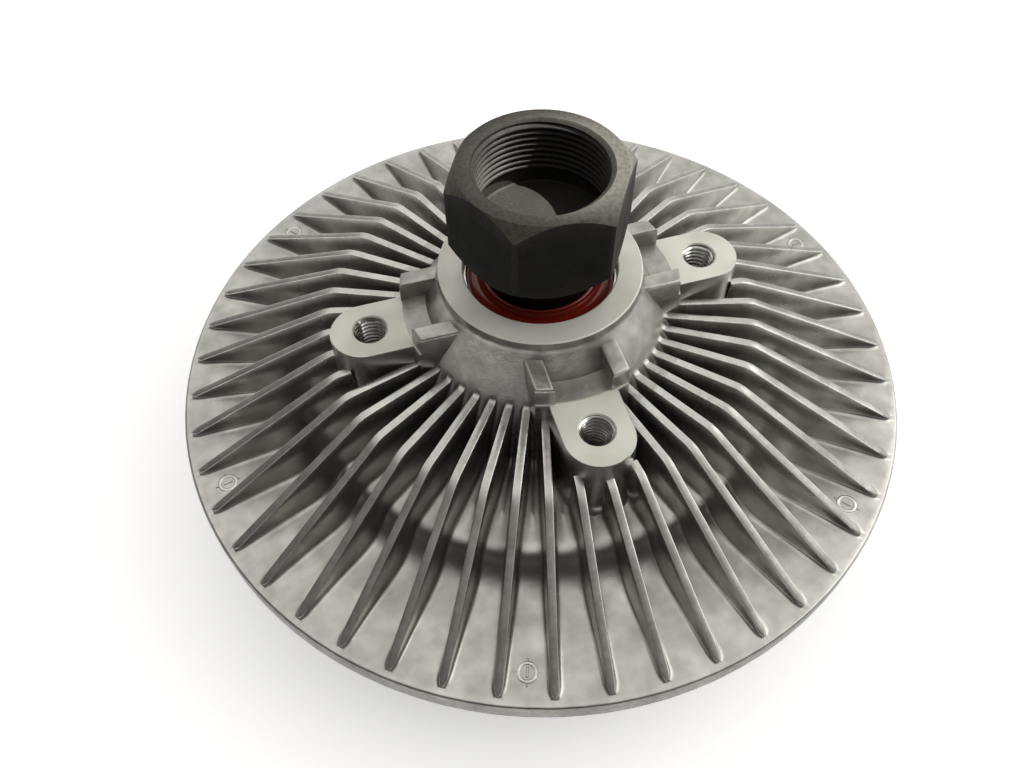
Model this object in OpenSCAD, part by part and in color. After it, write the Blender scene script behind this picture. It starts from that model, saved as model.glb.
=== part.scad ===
// Viscous fan clutch, lying on its front cover with the threaded shaft socket up
// Millimetres, +Z along the shaft axis towards the socket, Z = 0 on the cover's lowest fin edges

/* [Housing disc] */
// Radius of the housing rim
rim_r = 92; // [84:1:104]
// Plain margin between the fin tips and the rim
rim_margin = 2; // [1:0.5:6]
// Thickness of the rim flange
flange_t = 2.8; // [2:0.1:5]
// Height of the raised base over the flange
base_rise = 6.5; // [4:0.5:10]
// Radius of the outer shoulder of the raised base
shoulder_r = 60; // [54:1:66]
// Radial run of the slope from the shoulder to the flange
shoulder_run = 6; // [4:0.5:10]
// Rounding radius of the shoulder
shoulder_round = 5; // [2:0.5:7]
// Rounding radius at the foot of the slope
foot_round = 12; // [4:0.5:14]
// Wall thickness of the raised base and the hub cone
base_wall = 4.3; // [3:0.1:6]
// Radial thickness of the rim wall around the cover
lip_w = 2; // [1.5:0.1:4]
// Thickness of the rolled lip under the cover
lip_t = 1; // [0.8:0.1:2]
// Inward reach of the rolled lip
lip_reach = 2.4; // [1.5:0.1:4]
// Rounding of the rim's top edge
rim_round = 0.8; // [0.3:0.1:1.5]

/* [Housing fins] */
// Number of fins around the housing
fin_count = 48; // [32:4:64]
// Width of a fin along its edge
fin_w = 1.9; // [1.2:0.1:3]
// Draft angle of the fin sides
fin_draft = 2.1; // [1:0.1:3]
// Height of the fins over the flange
fin_h = 19; // [15:0.5:22]
// Radius at which the fin tops start to slope down
fin_knee_r = 52.5; // [46:0.5:60]
// Length of the tapered nose at a fin's tip
fin_nose = 2.5; // [2:0.5:8]
// Height left at a fin's tip
fin_tip_h = 0.7; // [0.3:0.1:1.5]

/* [Hub] */
// Height of the turned ring over the flange
ring_h = 33.8; // [30:0.2:44]
// Outer radius of the turned ring
ring_r = 24; // [23.5:0.5:27]
// Inward reach of the turned ring over the bearing
ring_reach = 2.9; // [1.5:0.1:3.2]
// Thickness of the ring's lip over the bearing
ring_lip_t = 2.4; // [1.5:0.1:4]
// Height of the straight wall below the ring
hub_neck_h = 2.8; // [1.5:0.1:5]
// Radius at which the hub cone meets the raised base
hub_foot_r = 37.6; // [35:0.2:42]
// Rounding radius at the foot of the hub cone
hub_round = 4; // [2:0.5:6]

/* [Fan bosses] */
// Number of fan bosses
boss_count = 4; // [3:1:5]
// Radius of the fan bolt circle
bolt_circle_r = 41.7; // [40:0.1:46]
// Height of the machined boss faces over the flange
boss_h = 24.2; // [22:0.2:28]
// Width of a boss
boss_w = 16.3; // [14:0.1:20]
// Distance from the bolt circle to the boss's outer end
boss_end = 9.5; // [8:0.1:12]
// Bulge of the boss's round end beyond its straight sides
boss_bulge = 0.2; // [0.1:0.05:0.5]
// Radius of a fan bolt hole
bolt_r = 4; // [3:0.5:5]
// Depth of a fan bolt hole
bolt_depth = 15; // [10:0.5:16]
// Chamfer at the mouth of a fan bolt hole
bolt_chamfer = 0.3; // [0.2:0.1:0.8]
// Radius of the fan pilot turned on the ears
pilot_r = 33.4; // [32.4:0.1:35]
// Ledge of the boss face outside the pilot
pilot_ledge = 0.7; // [0.4:0.1:1.5]
// Height of the ears over the boss face
ear_h = 5.1; // [3:0.1:6]
// Width of an ear
ear_w = 4.4; // [2.5:0.1:5]
// Width of the slot between a boss's two ears
ear_gap = 13.2; // [9:0.2:15]
// Step from the boss face up to the slot's floor
slot_step = 0.3; // [0.2:0.1:0.8]

/* [Bearing] */
// Bore radius of the bearing
bearing_bore_r = 10; // [9:0.5:11]
// Outer radius of the bearing
bearing_r = 21; // [20.5:0.1:21.5]
// Width of the bearing
bearing_w = 12; // [10:0.5:14]
// Diameter of a bearing ball
ball_d = 6.35; // [5.5:0.05:7]
// Groove radius of the races as a share of the ball's diameter
groove_share = 0.52; // [0.51:0.005:0.54]
// Number of bearing balls
ball_count = 9; // [7:1:10]
// Gap between a ball and its two grooves
ball_gap = 0.02; // [0.01:0.01:0.05]
// Half the radial gap between the two races
race_gap_half = 2.1; // [1.8:0.1:2.3]
// Thickness of a bearing seal
seal_t = 0.9; // [0.6:0.1:1.2]
// Depth of a bearing seal below the race face
seal_inset = 0.4; // [0.2:0.1:0.8]
// Running gap between a seal and the inner race
seal_gap = 0.15; // [0.05:0.05:0.3]
// Thickness of the rear seal's lip over the bearing
seal_lip_t = 0.5; // [0.3:0.1:0.8]
// Radial thickness of the ball cage
cage_t = 2.2; // [1.4:0.1:2.6]
// Width of the ball cage
cage_w = 8; // [7:0.2:8.6]
// Gap between a ball and its cage pocket
cage_gap = 0.12; // [0.05:0.01:0.3]
// Thickness of the circlip below the bearing
circlip_t = 1.75; // [1.2:0.05:2.5]
// Depth of the circlip groove in the housing
circlip_depth = 1.2; // [0.8:0.1:2]
// Gap between the ends of the circlip
circlip_gap = 5; // [3:0.5:8]
// Height of the land that carries the circlip
clip_land = 2; // [1.5:0.1:3]
// Inward reach of the circlip from the bearing bore
circlip_reach = 2.2; // [1.5:0.1:3]

/* [Drive shaft] */
// Width across the flats of the hex socket
hex_flats = 36.5; // [34:0.5:41]
// Height of the hex socket
hex_h = 21; // [17:0.1:26]
// Radius at which the hex chamfers start
hex_face_r = 18.2; // [16.6:0.1:18.5]
// Angle of the hex chamfers
hex_chamfer = 48; // [20:1:50]
// Turn of the hex against the fan bosses at rest
hex_turn = 57.5; // [0:0.1:60]
// Wall radius of the threaded socket
socket_r = 15; // [13:0.5:15.5]
// Depth of the socket
socket_depth = 17.5; // [13:0.1:19]
// Chamfer at the socket's mouth
socket_chamfer = 0.4; // [0.3:0.05:1]
// Length of the plain relief at the socket's floor
relief_len = 4; // [2:0.1:6]
// Depth of the relief beyond the thread's wall
relief_depth = 0.25; // [0.1:0.05:0.5]
// Radius of the neck below the hex
neck_r = 12.5; // [11.5:0.1:12.8]
// Length of the neck above the bearing
neck_len = 10.6; // [6:0.1:20]
// Length of the journal left free above the rotor hub
shoulder_up = 0.3; // [0.2:0.05:0.5]
// Radius of the spigot that carries the rotor
spigot_r = 8.5; // [7:0.1:8.8]

/* [Rotor] */
// Thickness of the rotor plate
rotor_t = 3; // [2:0.1:5]
// Step from the rim of the bearing's inner race in to the rotor hub
hub_step = 0.2; // [0.1:0.1:1.4]
// Number of annular lands on the housing and on the rotor
land_count = 4; // [2:1:4]
// Radius of the innermost housing land
land_r = 40; // [39:0.5:41]
// Radial width of a land
land_w = 2; // [1.5:0.1:2.2]
// Running gap between lands
land_gap = 0.5; // [0.3:0.05:0.8]
// Running gap above the rotor plate
rotor_gap = 0.6; // [0.4:0.1:1]
// Radial gap between the rotor and the cover wall
rotor_side_gap = 1.5; // [1:0.1:3]
// Radius of the rotor's flow holes
flow_r = 3; // [2:0.1:4]
// Radius of the circle of flow holes
flow_circle_r = 27; // [22:0.5:30]
// Thickness of the lock ring on the shaft end
lock_t = 1; // [0.8:0.1:1.5]
// Outward reach of the lock ring from the spigot
lock_reach = 2.5; // [1.5:0.1:3]
// Gap between the ends of the lock ring
lock_gap = 3; // [2:0.5:6]
// Depth of the lock ring's groove
lock_depth = 0.9; // [0.5:0.1:1.2]

/* [Front cover] */
// Height of the cover's fins
cover_fin_h = 10.8; // [9:0.1:18]
// Number of cover fins
cover_fin_count = 30; // [24:2:36]
// Radius of the inner ends of the cover fins
cover_fin_r = 27; // [26:0.5:32]
// Radius at which the cover fins start to slope up
cover_knee_r = 62; // [50:1:70]
// Thickness of the cover's floor
cover_floor_t = 3.2; // [2.5:0.1:5]
// Thickness of the cover's rim flange
cover_flange_t = 2; // [1.5:0.1:3]
// Wall thickness of the cover's dish
cover_wall = 3.3; // [2.5:0.1:5]
// Radial width of the cover's rim flange outside the dish
cover_flange_w = 3.8; // [3.4:0.1:6]
// Radial width of the shelf that carries the pump plate
shelf_w = 10.9; // [6:0.1:14]
// Depth of the reservoir below the pump plate
reservoir_h = 4; // [3.2:0.1:8]
// Section diameter of the cover's seal ring
ring_seal_d = 2.2; // [1.6:0.1:2.6]
// Depth of the groove for the cover's seal ring
ring_seal_depth = 1.3; // [0.9:0.1:1.6]

/* [Pump] */
// Thickness of the pump plate
plate_t = 1; // [0.6:0.1:2]
// Radial gap between the pump plate and the cover wall
plate_gap = 2; // [1:0.1:4]
// Gap between the pump plate and the rotor
plate_run = 1.6; // [1.3:0.1:3]
// Distance of the plate screws from the reservoir's wall
screw_inset = 8; // [6:0.5:14]
// Number of plate screws
screw_count = 4; // [3:1:6]
// Radius of a plate screw's shank
screw_r = 1.5; // [1.2:0.1:2]
// Radius of a plate screw's head
screw_head_r = 2.8; // [2.4:0.1:3.4]
// Thickness of a plate screw's head
screw_head_t = 0.9; // [0.6:0.1:1]
// Radius of the cover bosses under the plate screws
screw_boss_r = 4; // [3.5:0.1:5]
// Length of the pump wiper
wiper_l = 14; // [8:0.5:16]
// Width of the pump wiper
wiper_w = 6; // [4:0.5:8]
// Distance of the wiper's outer end from the pump plate's edge
wiper_margin = 6.3; // [3:0.1:10]
// Radius of the wiper's peg in the pump plate
peg_r = 1.2; // [0.8:0.1:2]
// Running gap between the wiper and the rotor
wiper_gap = 0.4; // [0.3:0.05:0.6]
// Turn of the return port ahead of the wiper
return_turn = 10; // [7:0.5:15]
// Radius of the gate port and the return port
port_r = 2.2; // [1.5:0.1:3]

/* [Valve] */
// Radius of the valve shaft
valve_r = 3; // [2.5:0.1:3.5]
// Length of the valve arm from the axis to the gate port
arm_l = 28; // [22:0.5:34]
// Width of the valve arm
arm_w = 7; // [5:0.5:8]
// Overlap of the valve arm around the gate port
arm_lap = 2.3; // [1:0.1:4]
// Thickness of the valve arm
arm_t = 1.2; // [0.8:0.1:1.6]
// Gap between the valve arm and the pump plate
arm_gap = 0.3; // [0.2:0.05:0.5]
// Radius of the valve shaft's collar
collar_r = 4.5; // [4:0.1:5.5]
// Radius of the pin on the valve shaft that carries the arm
arm_pin_r = 2.2; // [1.6:0.1:2.4]
// Wall thickness of the valve bush and the shaft seal
bush_wall = 2; // [1.2:0.1:3]
// Length of the shaft seal above the bush
shaft_seal_l = 2; // [1:0.1:2.5]
// Length of the cover's bush boss below the floor
bush_boss_l = 2; // [1:0.1:3]
// Wall thickness of the cover's bush boss
bush_boss_wall = 3; // [2:0.1:4]

/* [Coil] */
// Number of turns of the bimetal coil
coil_turns = 5; // [3:1:6]
// Thickness of the coil strip
coil_t = 0.9; // [0.6:0.1:1.2]
// Width of the coil strip
coil_w = 5; // [4:0.1:5.5]
// Radius of the coil's innermost turn
coil_r = 6.5; // [6:0.1:8]
// Radius of the coil's outermost turn
coil_end_r = 20; // [18:0.5:22]
// Height of the coil's lower edge over the rest plane
coil_foot = 2; // [1:0.1:4]
// Gap between the coil's ends and what holds them
coil_gap = 0.1; // [0.05:0.05:0.2]
// Thickness of the coil bracket
bracket_t = 1.5; // [1:0.1:2]
// Width of the coil bracket
bracket_w = 7; // [5:0.5:9]
// Length of the bracket's foot beyond its upright
bracket_foot = 3.25; // [2.6:0.05:5]
// Radius of a bracket screw's head
bracket_head_r = 1.55; // [1.3:0.05:1.7]
// Radius of a bracket screw
bracket_screw_r = 1.25; // [1:0.05:1.5]

/* [Fits] */
// Gap of press fits and seats between pieces of one body
seat_gap = 0.02; // [0.01:0.01:0.05]
// Radial running gap of the valve shaft
run_gap = 0.05; // [0.02:0.01:0.1]
// Free gap between moving pieces that must not touch
free_gap = 0.3; // [0.2:0.05:0.5]

/* [Hidden] */
$fn = 96;
CUT = 1;
FULL = 360;
HEX = 6;

// Levels, from the rest plane up
z_floor_out = cover_fin_h;
z_floor_in = z_floor_out + cover_floor_t;
z_shelf = z_floor_in + reservoir_h;
z_plate_top = z_shelf + plate_t;
z_rotor = z_plate_top + plate_run;
z_rotor_top = z_rotor + rotor_t;
z_part = z_rotor_top + rotor_gap;
z_flange = z_part + flange_t;
z_base = z_flange + base_rise;
z_ceiling = z_base - base_wall;
z_fin_top = z_flange + fin_h;
z_boss = z_flange + boss_h;
z_ear = z_boss + ear_h;
z_ring = z_flange + ring_h;
z_neck = z_ring - hub_neck_h;
z_bearing_top = z_ring - ring_lip_t;
z_bearing = z_bearing_top - bearing_w;
z_ball = z_bearing + bearing_w / 2;
z_hex = z_bearing_top + neck_len;
z_hex_top = z_hex + hex_h;
z_socket_floor = z_hex_top - socket_depth;
z_cover_under = z_part - cover_flange_t;
z_lip = z_cover_under - seat_gap - lip_t;

// Radii of the rim and what lies in it
cover_seat_r = rim_r - lip_w;
cover_r = cover_seat_r - seat_gap;
lip_r = cover_seat_r - lip_reach;
dish_out_r = cover_r - cover_flange_w;
dish_r = dish_out_r - cover_wall;
rotor_r = dish_r - rotor_side_gap;
plate_r = dish_r - plate_gap;
reservoir_r = dish_r - shelf_w;
screw_circle_r = reservoir_r - screw_inset;
wiper_r = plate_r - wiper_margin - wiper_l / 2;
return_r = reservoir_r - 2 * port_r;
fin_tip_r = rim_r - rim_margin;
cover_fin_tip_r = dish_out_r - cover_floor_t / 2;
foot_r = shoulder_r + shoulder_run;
seal_ring_r = (dish_r + cover_r) / 2;

// Hub cone: radius at a height, and the cavity inside it
cone_slope = (hub_foot_r - ring_r) / (z_neck - z_base);
function cone_r(z) = ring_r + (z_neck - z) * cone_slope;
z_clip = z_bearing - seat_gap - circlip_t;
z_clip_seat = z_clip - seat_gap;
z_cavity = z_clip_seat - clip_land;
cavity_top_r = cone_r(z_cavity) - base_wall - clip_land;
cavity_foot_r = cone_r(z_ceiling) - base_wall;

// Annular lands of housing and rotor, which run between each other
land_pitch = 2 * (land_w + land_gap);
recess_r = land_r + land_count * land_pitch - land_gap;
land_h = z_ceiling - z_rotor_top - land_gap;

// Bearing races
pitch_r = (bearing_bore_r + bearing_r) / 2;
groove_r = groove_share * ball_d;
race_out_r = pitch_r + race_gap_half;
race_in_r = pitch_r - race_gap_half;
ring_bore_r = bearing_r - ring_reach;
rotor_hub_r = race_in_r - hub_step;

// Shaft end and rotor bore
z_shaft_end = z_rotor + free_gap;
z_lock_seat = z_rotor + 2 * lock_t + free_gap;
lock_out_r = spigot_r + lock_reach;

// Cover bores and valve levels
bush_r = valve_r + run_gap + bush_wall;
z_bush = z_floor_out - bush_boss_l;
z_shaft_seal = z_floor_in - shaft_seal_l;
z_arm_top = z_shelf - arm_gap;
z_arm = z_arm_top - arm_t;
z_coil_top = coil_foot + coil_w;

// Coil bracket and its screws
bracket_r = coil_end_r + coil_t + coil_gap;
bracket_foot_l = bracket_foot + bracket_t;
slot_w = coil_t + 2 * coil_gap;

CAST = [0.72, 0.71, 0.69];
PHOSPHATE = [0.16, 0.15, 0.14];
SEAL_RED = [0.55, 0.13, 0.07];
STEEL = [0.62, 0.63, 0.65];
RUBBER = [0.08, 0.08, 0.08];
BRONZE = [0.66, 0.48, 0.26];
BIMETAL = [0.60, 0.55, 0.46];

// Points of a circular arc around a centre, from one angle to another
function arc(centre, r, from, to, steps = 6) =
    [for (i = [0 : steps]) let (a = from + (to - from) * i / steps) centre + r * [cos(a), sin(a)]];

// Rounds the corner between two straight runs that meet at a point
function rounded(before, corner, after, r) =
    let (u = (before - corner) / norm(before - corner),
         v = (after - corner) / norm(after - corner),
         half = acos(u * v) / 2,
         centre = corner + (u + v) / norm(u + v) * r / sin(half),
         p = corner + u * r / tan(half),
         q = corner + v * r / tan(half),
         a = atan2(p[1] - centre[1], p[0] - centre[0]),
         b = atan2(q[1] - centre[1], q[0] - centre[0]),
         turn = b - a > 180 ? b - a - FULL : b - a < -180 ? b - a + FULL : b - a)
    arc(centre, r, a, a + turn);

// Copies its children evenly around the axis
module around(count, start = 0) {
    for (i = [0 : count - 1])
        rotate(start + FULL * i / count)
            children();
}

// A ring of rectangular section
module ring(inner, outer, low, high) {
    rotate_extrude()
        translate([inner, low])
            square([outer - inner, high - low]);
}

// Wedge with an edge of even width along the x axis and drafted sides, which grow away from the edge
module wedge(length, depth, way) {
    grow = depth * tan(fin_draft);
    rotate([90, 0, 90])
        linear_extrude(height = length)
            polygon([[-fin_w / 2, 0], [fin_w / 2, 0],
                     [fin_w / 2 + grow, -way * depth], [-fin_w / 2 - grow, -way * depth]]);
}

// A radial fin: a level edge up to the knee, a sloped edge from there and a tapered nose
module fin(side, z_edge, knee_r, z_tip, tip_r, way) {
    far = tip_r + CUT;
    side_free = CUT / 5;
    depth = fin_h + flange_t;
    slope = atan(abs(z_edge - z_tip) / (tip_r - knee_r));
    intersection() {
        rotate([90, 0, 0])
            linear_extrude(height = 4 * fin_w, center = true)
                polygon(side);
        translate([0, 0, z_edge])
            union() {
                wedge(knee_r, depth, way);
                translate([knee_r, 0, 0])
                    rotate([0, way * slope, 0])
                        wedge(far, depth, way);
            }
        translate([0, 0, min(z_edge, z_edge - way * depth) - CUT])
            linear_extrude(height = depth + 2 * CUT)
                polygon([[0, -2 * fin_w], [tip_r - fin_nose, -fin_w / 2 - side_free],
                         [tip_r - fin_nose / 3, -fin_w / 3], [tip_r, -fin_w / 8],
                         [tip_r, fin_w / 8], [tip_r - fin_nose / 3, fin_w / 3],
                         [tip_r - fin_nose, fin_w / 2 + side_free], [0, 2 * fin_w]]);
    }
}

// Half section of the housing: rim wall, flange, raised base, hub cone and ring, with its cavities
module housing_section() {
    neck = [ring_r, z_neck];
    hub_foot = [hub_foot_r, z_base];
    shoulder = [shoulder_r, z_base];
    foot = [foot_r, z_flange];
    rim = [rim_r, z_flange];
    lip_edge = [rim_r, z_lip];
    polygon(concat(
        [[ring_bore_r, z_ring], [ring_r, z_ring], neck],
        rounded(neck, hub_foot, shoulder, hub_round),
        rounded(hub_foot, shoulder, foot, shoulder_round),
        rounded(shoulder, foot, rim, foot_round),
        rounded(foot, rim, lip_edge, rim_round),
        rounded(rim, lip_edge, [lip_r, z_lip], lip_t / 2),
        [[lip_r, z_lip], [lip_r, z_lip + lip_t], [cover_seat_r, z_lip + lip_t], [cover_seat_r, z_part],
         [recess_r, z_part], [recess_r, z_ceiling], [cavity_foot_r, z_ceiling], [cavity_top_r, z_cavity],
         [bearing_r, z_cavity], [bearing_r, z_clip_seat], [bearing_r + circlip_depth, z_clip_seat],
         [bearing_r + circlip_depth, z_bearing], [bearing_r, z_bearing], [bearing_r, z_bearing_top],
         [ring_bore_r, z_bearing_top]]));
    for (i = [0 : land_count - 1])
        translate([land_r + i * land_pitch, z_ceiling - land_h])
            square([land_w, land_h + base_wall / 2]);
}

// Side view of a housing fin, with its lower edge sunk into the wall
function housing_fin_side() =
    let (sink = base_wall / 2)
    [[cone_r(z_fin_top) - sink, z_fin_top],
     [fin_knee_r, z_fin_top],
     [fin_tip_r, z_flange + fin_tip_h],
     [fin_tip_r, z_flange - flange_t / 2],
     [foot_r - sink, z_flange - flange_t / 2],
     [shoulder_r - sink, z_base - sink],
     [hub_foot_r - sink / 2, z_base - sink],
     [cone_r(z_fin_top) - sink, z_fin_top - sink]];

// Space outside the hub's mid-wall up to a level, which keeps the bosses out of the hub cavity
module outside_hub(top) {
    far = 2 * rim_r;
    rotate_extrude()
        polygon([[cone_r(z_base) - base_wall / 2, z_ceiling], [far, z_ceiling], [far, top],
                 [cone_r(top) - base_wall / 2, top]]);
}

// Plan of one boss: a tab with a round end, and a wider block behind the pilot
module boss_plan(block_w) {
    tab_r = boss_w / 2 + boss_bulge;
    tab_centre = bolt_circle_r + boss_end - tab_r;
    translate([0, -boss_w / 2])
        square([tab_centre, boss_w]);
    translate([tab_centre, 0])
        circle(r = tab_r);
    intersection() {
        circle(r = pilot_r + pilot_ledge);
        translate([0, -block_w / 2])
            square([pilot_r + pilot_ledge, block_w]);
    }
}

// Plan of a bar across or along the boss, ended by the turned pilot
module pilot_bar(low, w) {
    intersection() {
        circle(r = pilot_r);
        translate([ring_r - base_wall / 2, low])
            square([pilot_r, w]);
    }
}

// Tab, block, slot floor and ears of one fan boss
module boss() {
    block_w = ear_gap + 2 * ear_w;
    sunk = z_base - base_wall / 2;
    intersection() {
        translate([0, 0, sunk])
            linear_extrude(height = z_boss - sunk)
                boss_plan(block_w);
        outside_hub(z_boss);
    }
    translate([0, 0, z_boss - CUT]) {
        linear_extrude(height = CUT + slot_step)
            pilot_bar(-block_w / 2, block_w);
        linear_extrude(height = CUT + ear_h) {
            pilot_bar(-block_w / 2, ear_w);
            pilot_bar(ear_gap / 2, ear_w);
        }
    }
}

module bolt_hole() {
    translate([bolt_circle_r, 0, z_boss - bolt_depth])
        cylinder(r = bolt_r, h = bolt_depth + ear_h);
    translate([bolt_circle_r, 0, z_boss - bolt_depth - bolt_r / 2])
        cylinder(r1 = bolt_r / 10, r2 = bolt_r, h = bolt_r / 2);
    translate([bolt_circle_r, 0, z_boss - bolt_chamfer])
        cylinder(r1 = bolt_r, r2 = bolt_r + bolt_chamfer, h = bolt_chamfer);
}

module rear_housing() {
    color(CAST)
        difference() {
            union() {
                rotate_extrude()
                    housing_section();
                around(fin_count)
                    fin(housing_fin_side(), z_fin_top, fin_knee_r, z_flange + fin_tip_h, fin_tip_r, 1);
                around(boss_count)
                    boss();
            }
            around(boss_count)
                bolt_hole();
        }
}

// Side view of a cover fin, with its upper edge sunk into the floor
function cover_fin_side() =
    let (sink = cover_floor_t / 2)
    [[cover_fin_r, 0], [cover_knee_r, 0], [cover_fin_tip_r, z_floor_out],
     [cover_fin_tip_r, z_floor_out + sink], [cover_fin_r, z_floor_out + sink]];

module cover_section() {
    floor_edge = [dish_out_r, z_floor_out];
    polygon(concat(
        [[bush_r, z_bush], [bush_r + bush_boss_wall, z_bush], [bush_r + bush_boss_wall, z_floor_out]],
        rounded([0, z_floor_out], floor_edge, [dish_out_r, z_cover_under], cover_floor_t),
        [[dish_out_r, z_cover_under], [cover_r, z_cover_under], [cover_r, z_part], [dish_r, z_part],
         [dish_r, z_shelf], [reservoir_r, z_shelf], [reservoir_r, z_floor_in], [bush_r, z_floor_in]]));
}

module front_cover() {
    color(CAST)
        difference() {
            union() {
                rotate_extrude()
                    cover_section();
                around(cover_fin_count, FULL / cover_fin_count / 2)
                    fin(cover_fin_side(), 0, cover_knee_r, z_floor_out, cover_fin_tip_r, -1);
                around(screw_count, FULL / screw_count / 2)
                    translate([screw_circle_r, 0, z_floor_in - CUT])
                        cylinder(r = screw_boss_r, h = reservoir_h + CUT);
            }
            around(screw_count, FULL / screw_count / 2)
                translate([screw_circle_r, 0, z_floor_in])
                    cylinder(r = screw_r + seat_gap, h = reservoir_h + CUT);
            bracket_screw_places()
                translate([0, 0, z_floor_out - CUT])
                    cylinder(r = bracket_screw_r + seat_gap, h = CUT + cover_floor_t / 2);
            ring(seal_ring_r - ring_seal_d / 2 - seat_gap, seal_ring_r + ring_seal_d / 2 + seat_gap,
                 z_part - ring_seal_depth, z_part + CUT);
        }
}

// Round section pressed flat between the groove floor and the housing
module cover_seal_ring() {
    color(RUBBER)
        rotate_extrude()
            intersection() {
                translate([seal_ring_r, z_part - ring_seal_depth / 2])
                    circle(d = ring_seal_d);
                translate([seal_ring_r - ring_seal_d, z_part - ring_seal_depth])
                    square([2 * ring_seal_d, ring_seal_depth]);
            }
}

// Hex with its corners turned off at both ends
module hex_socket() {
    corner_r = hex_flats / 2 / cos(FULL / HEX / 2);
    drop = (corner_r - hex_face_r) * tan(hex_chamfer);
    over = corner_r + CUT;
    rise = drop + CUT * tan(hex_chamfer);
    intersection() {
        rotate(hex_turn)
            translate([0, 0, z_hex])
                cylinder(r = corner_r, h = hex_h, $fn = HEX);
        rotate_extrude()
            polygon([[0, z_hex], [hex_face_r, z_hex], [over, z_hex + rise], [over, z_hex_top - rise],
                     [hex_face_r, z_hex_top], [0, z_hex_top]]);
    }
}

module drive_shaft() {
    journal_r = bearing_bore_r - seat_gap;
    groove_low = z_lock_seat - lock_t - seat_gap;
    color(PHOSPHATE)
        difference() {
            union() {
                hex_socket();
                rotate_extrude()
                    polygon([[0, z_shaft_end], [spigot_r, z_shaft_end],
                             [spigot_r, groove_low], [spigot_r - lock_depth, groove_low],
                             [spigot_r - lock_depth, z_lock_seat], [spigot_r, z_lock_seat],
                             [spigot_r, z_bearing + shoulder_up], [journal_r, z_bearing + shoulder_up],
                             [journal_r, z_bearing_top], [neck_r, z_bearing_top],
                             [neck_r, z_hex + CUT], [0, z_hex + CUT]]);
            }
            translate([0, 0, z_socket_floor])
                cylinder(r = socket_r, h = socket_depth + CUT);
            translate([0, 0, z_socket_floor])
                cylinder(r = socket_r + relief_depth, h = relief_len);
            translate([0, 0, z_hex_top - socket_chamfer])
                cylinder(r1 = socket_r, r2 = socket_r + socket_chamfer, h = socket_chamfer);
        }
}

// Half section of a race as a block with a round ball groove
module race(inner, outer, groove_at) {
    rotate_extrude()
        difference() {
            translate([inner, z_bearing])
                square([outer - inner, bearing_w]);
            translate([groove_at, z_ball])
                circle(r = groove_r);
        }
}

module bearing_outer_race() {
    color(STEEL)
        race(race_out_r, bearing_r - seat_gap, pitch_r + ball_d / 2 + ball_gap - groove_r);
}

module bearing_inner_race() {
    color(STEEL)
        race(bearing_bore_r, race_in_r, pitch_r - ball_d / 2 - ball_gap + groove_r);
}

module bearing_balls() {
    color(STEEL)
        around(ball_count)
            translate([pitch_r, 0, z_ball])
                sphere(d = ball_d);
}

module bearing_cage() {
    color(BRONZE)
        difference() {
            ring(pitch_r - cage_t / 2, pitch_r + cage_t / 2, z_ball - cage_w / 2, z_ball + cage_w / 2);
            around(ball_count)
                translate([pitch_r, 0, z_ball])
                    sphere(d = ball_d + 2 * cage_gap);
        }
}

// Seal held in the outer race, with its lip just clear of the inner race
module bearing_seal(low) {
    ring(race_in_r + seal_gap, race_out_r - seat_gap, low, low + seal_t);
}

// The rear seal also reaches over the inner race to the neck
module bearing_rear_seal() {
    low = z_bearing_top - seal_inset - seal_t;
    web_r = race_in_r + seal_gap;
    lip_low = z_bearing_top + seal_gap;
    color(SEAL_RED) {
        bearing_seal(low);
        ring(web_r, web_r + seal_t, low, lip_low + seal_lip_t);
        ring(neck_r + seal_gap, web_r + seal_t, lip_low, lip_low + seal_lip_t);
    }
}

module bearing_front_seal() {
    color(RUBBER)
        bearing_seal(z_bearing + seal_inset);
}

// Ring with a gap, as a circlip has
module split_ring(inner, outer, low, high, gap) {
    difference() {
        ring(inner, outer, low, high);
        translate([0, -gap / 2, low - CUT])
            cube([outer + CUT, gap, high - low + 2 * CUT]);
    }
}

module bearing_retaining_ring() {
    color(STEEL)
        split_ring(bearing_r - circlip_reach, bearing_r + circlip_depth - seat_gap,
                   z_clip, z_clip + circlip_t, circlip_gap);
}

module rotor_section() {
    recess = lock_out_r + free_gap;
    bore = spigot_r + seat_gap;
    polygon([[bore, z_lock_seat], [recess, z_lock_seat], [recess, z_rotor],
             [rotor_r, z_rotor], [rotor_r, z_rotor_top], [rotor_hub_r, z_rotor_top],
             [rotor_hub_r, z_bearing], [bore, z_bearing]]);
    for (i = [0 : land_count - 1])
        translate([land_r + land_w + land_gap + (i - 1) * land_pitch, z_rotor_top - rotor_t / 2])
            square([land_w, land_h + rotor_t / 2]);
}

module rotor() {
    color(CAST)
        difference() {
            rotate_extrude()
                rotor_section();
            around(boss_count)
                translate([flow_circle_r, 0, z_rotor - CUT])
                    cylinder(r = flow_r, h = rotor_t + 2 * CUT);
        }
}

module rotor_lock_ring() {
    color(STEEL)
        split_ring(spigot_r - lock_depth + seat_gap, lock_out_r,
                   z_lock_seat - lock_t, z_lock_seat, lock_gap);
}

module pump_plate() {
    color(STEEL)
        difference() {
            translate([0, 0, z_shelf])
                cylinder(r = plate_r, h = plate_t);
            translate([arm_l, 0, z_shelf - CUT])
                cylinder(r = port_r, h = plate_t + 2 * CUT);
            rotate(return_turn)
                translate([return_r, 0, z_shelf - CUT])
                    cylinder(r = port_r, h = plate_t + 2 * CUT);
            translate([wiper_r, 0, z_shelf - CUT])
                cylinder(r = peg_r + seat_gap, h = plate_t + 2 * CUT);
            around(screw_count, FULL / screw_count / 2)
                translate([screw_circle_r, 0, z_shelf - CUT])
                    cylinder(r = screw_r + seat_gap, h = plate_t + 2 * CUT);
        }
}

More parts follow.
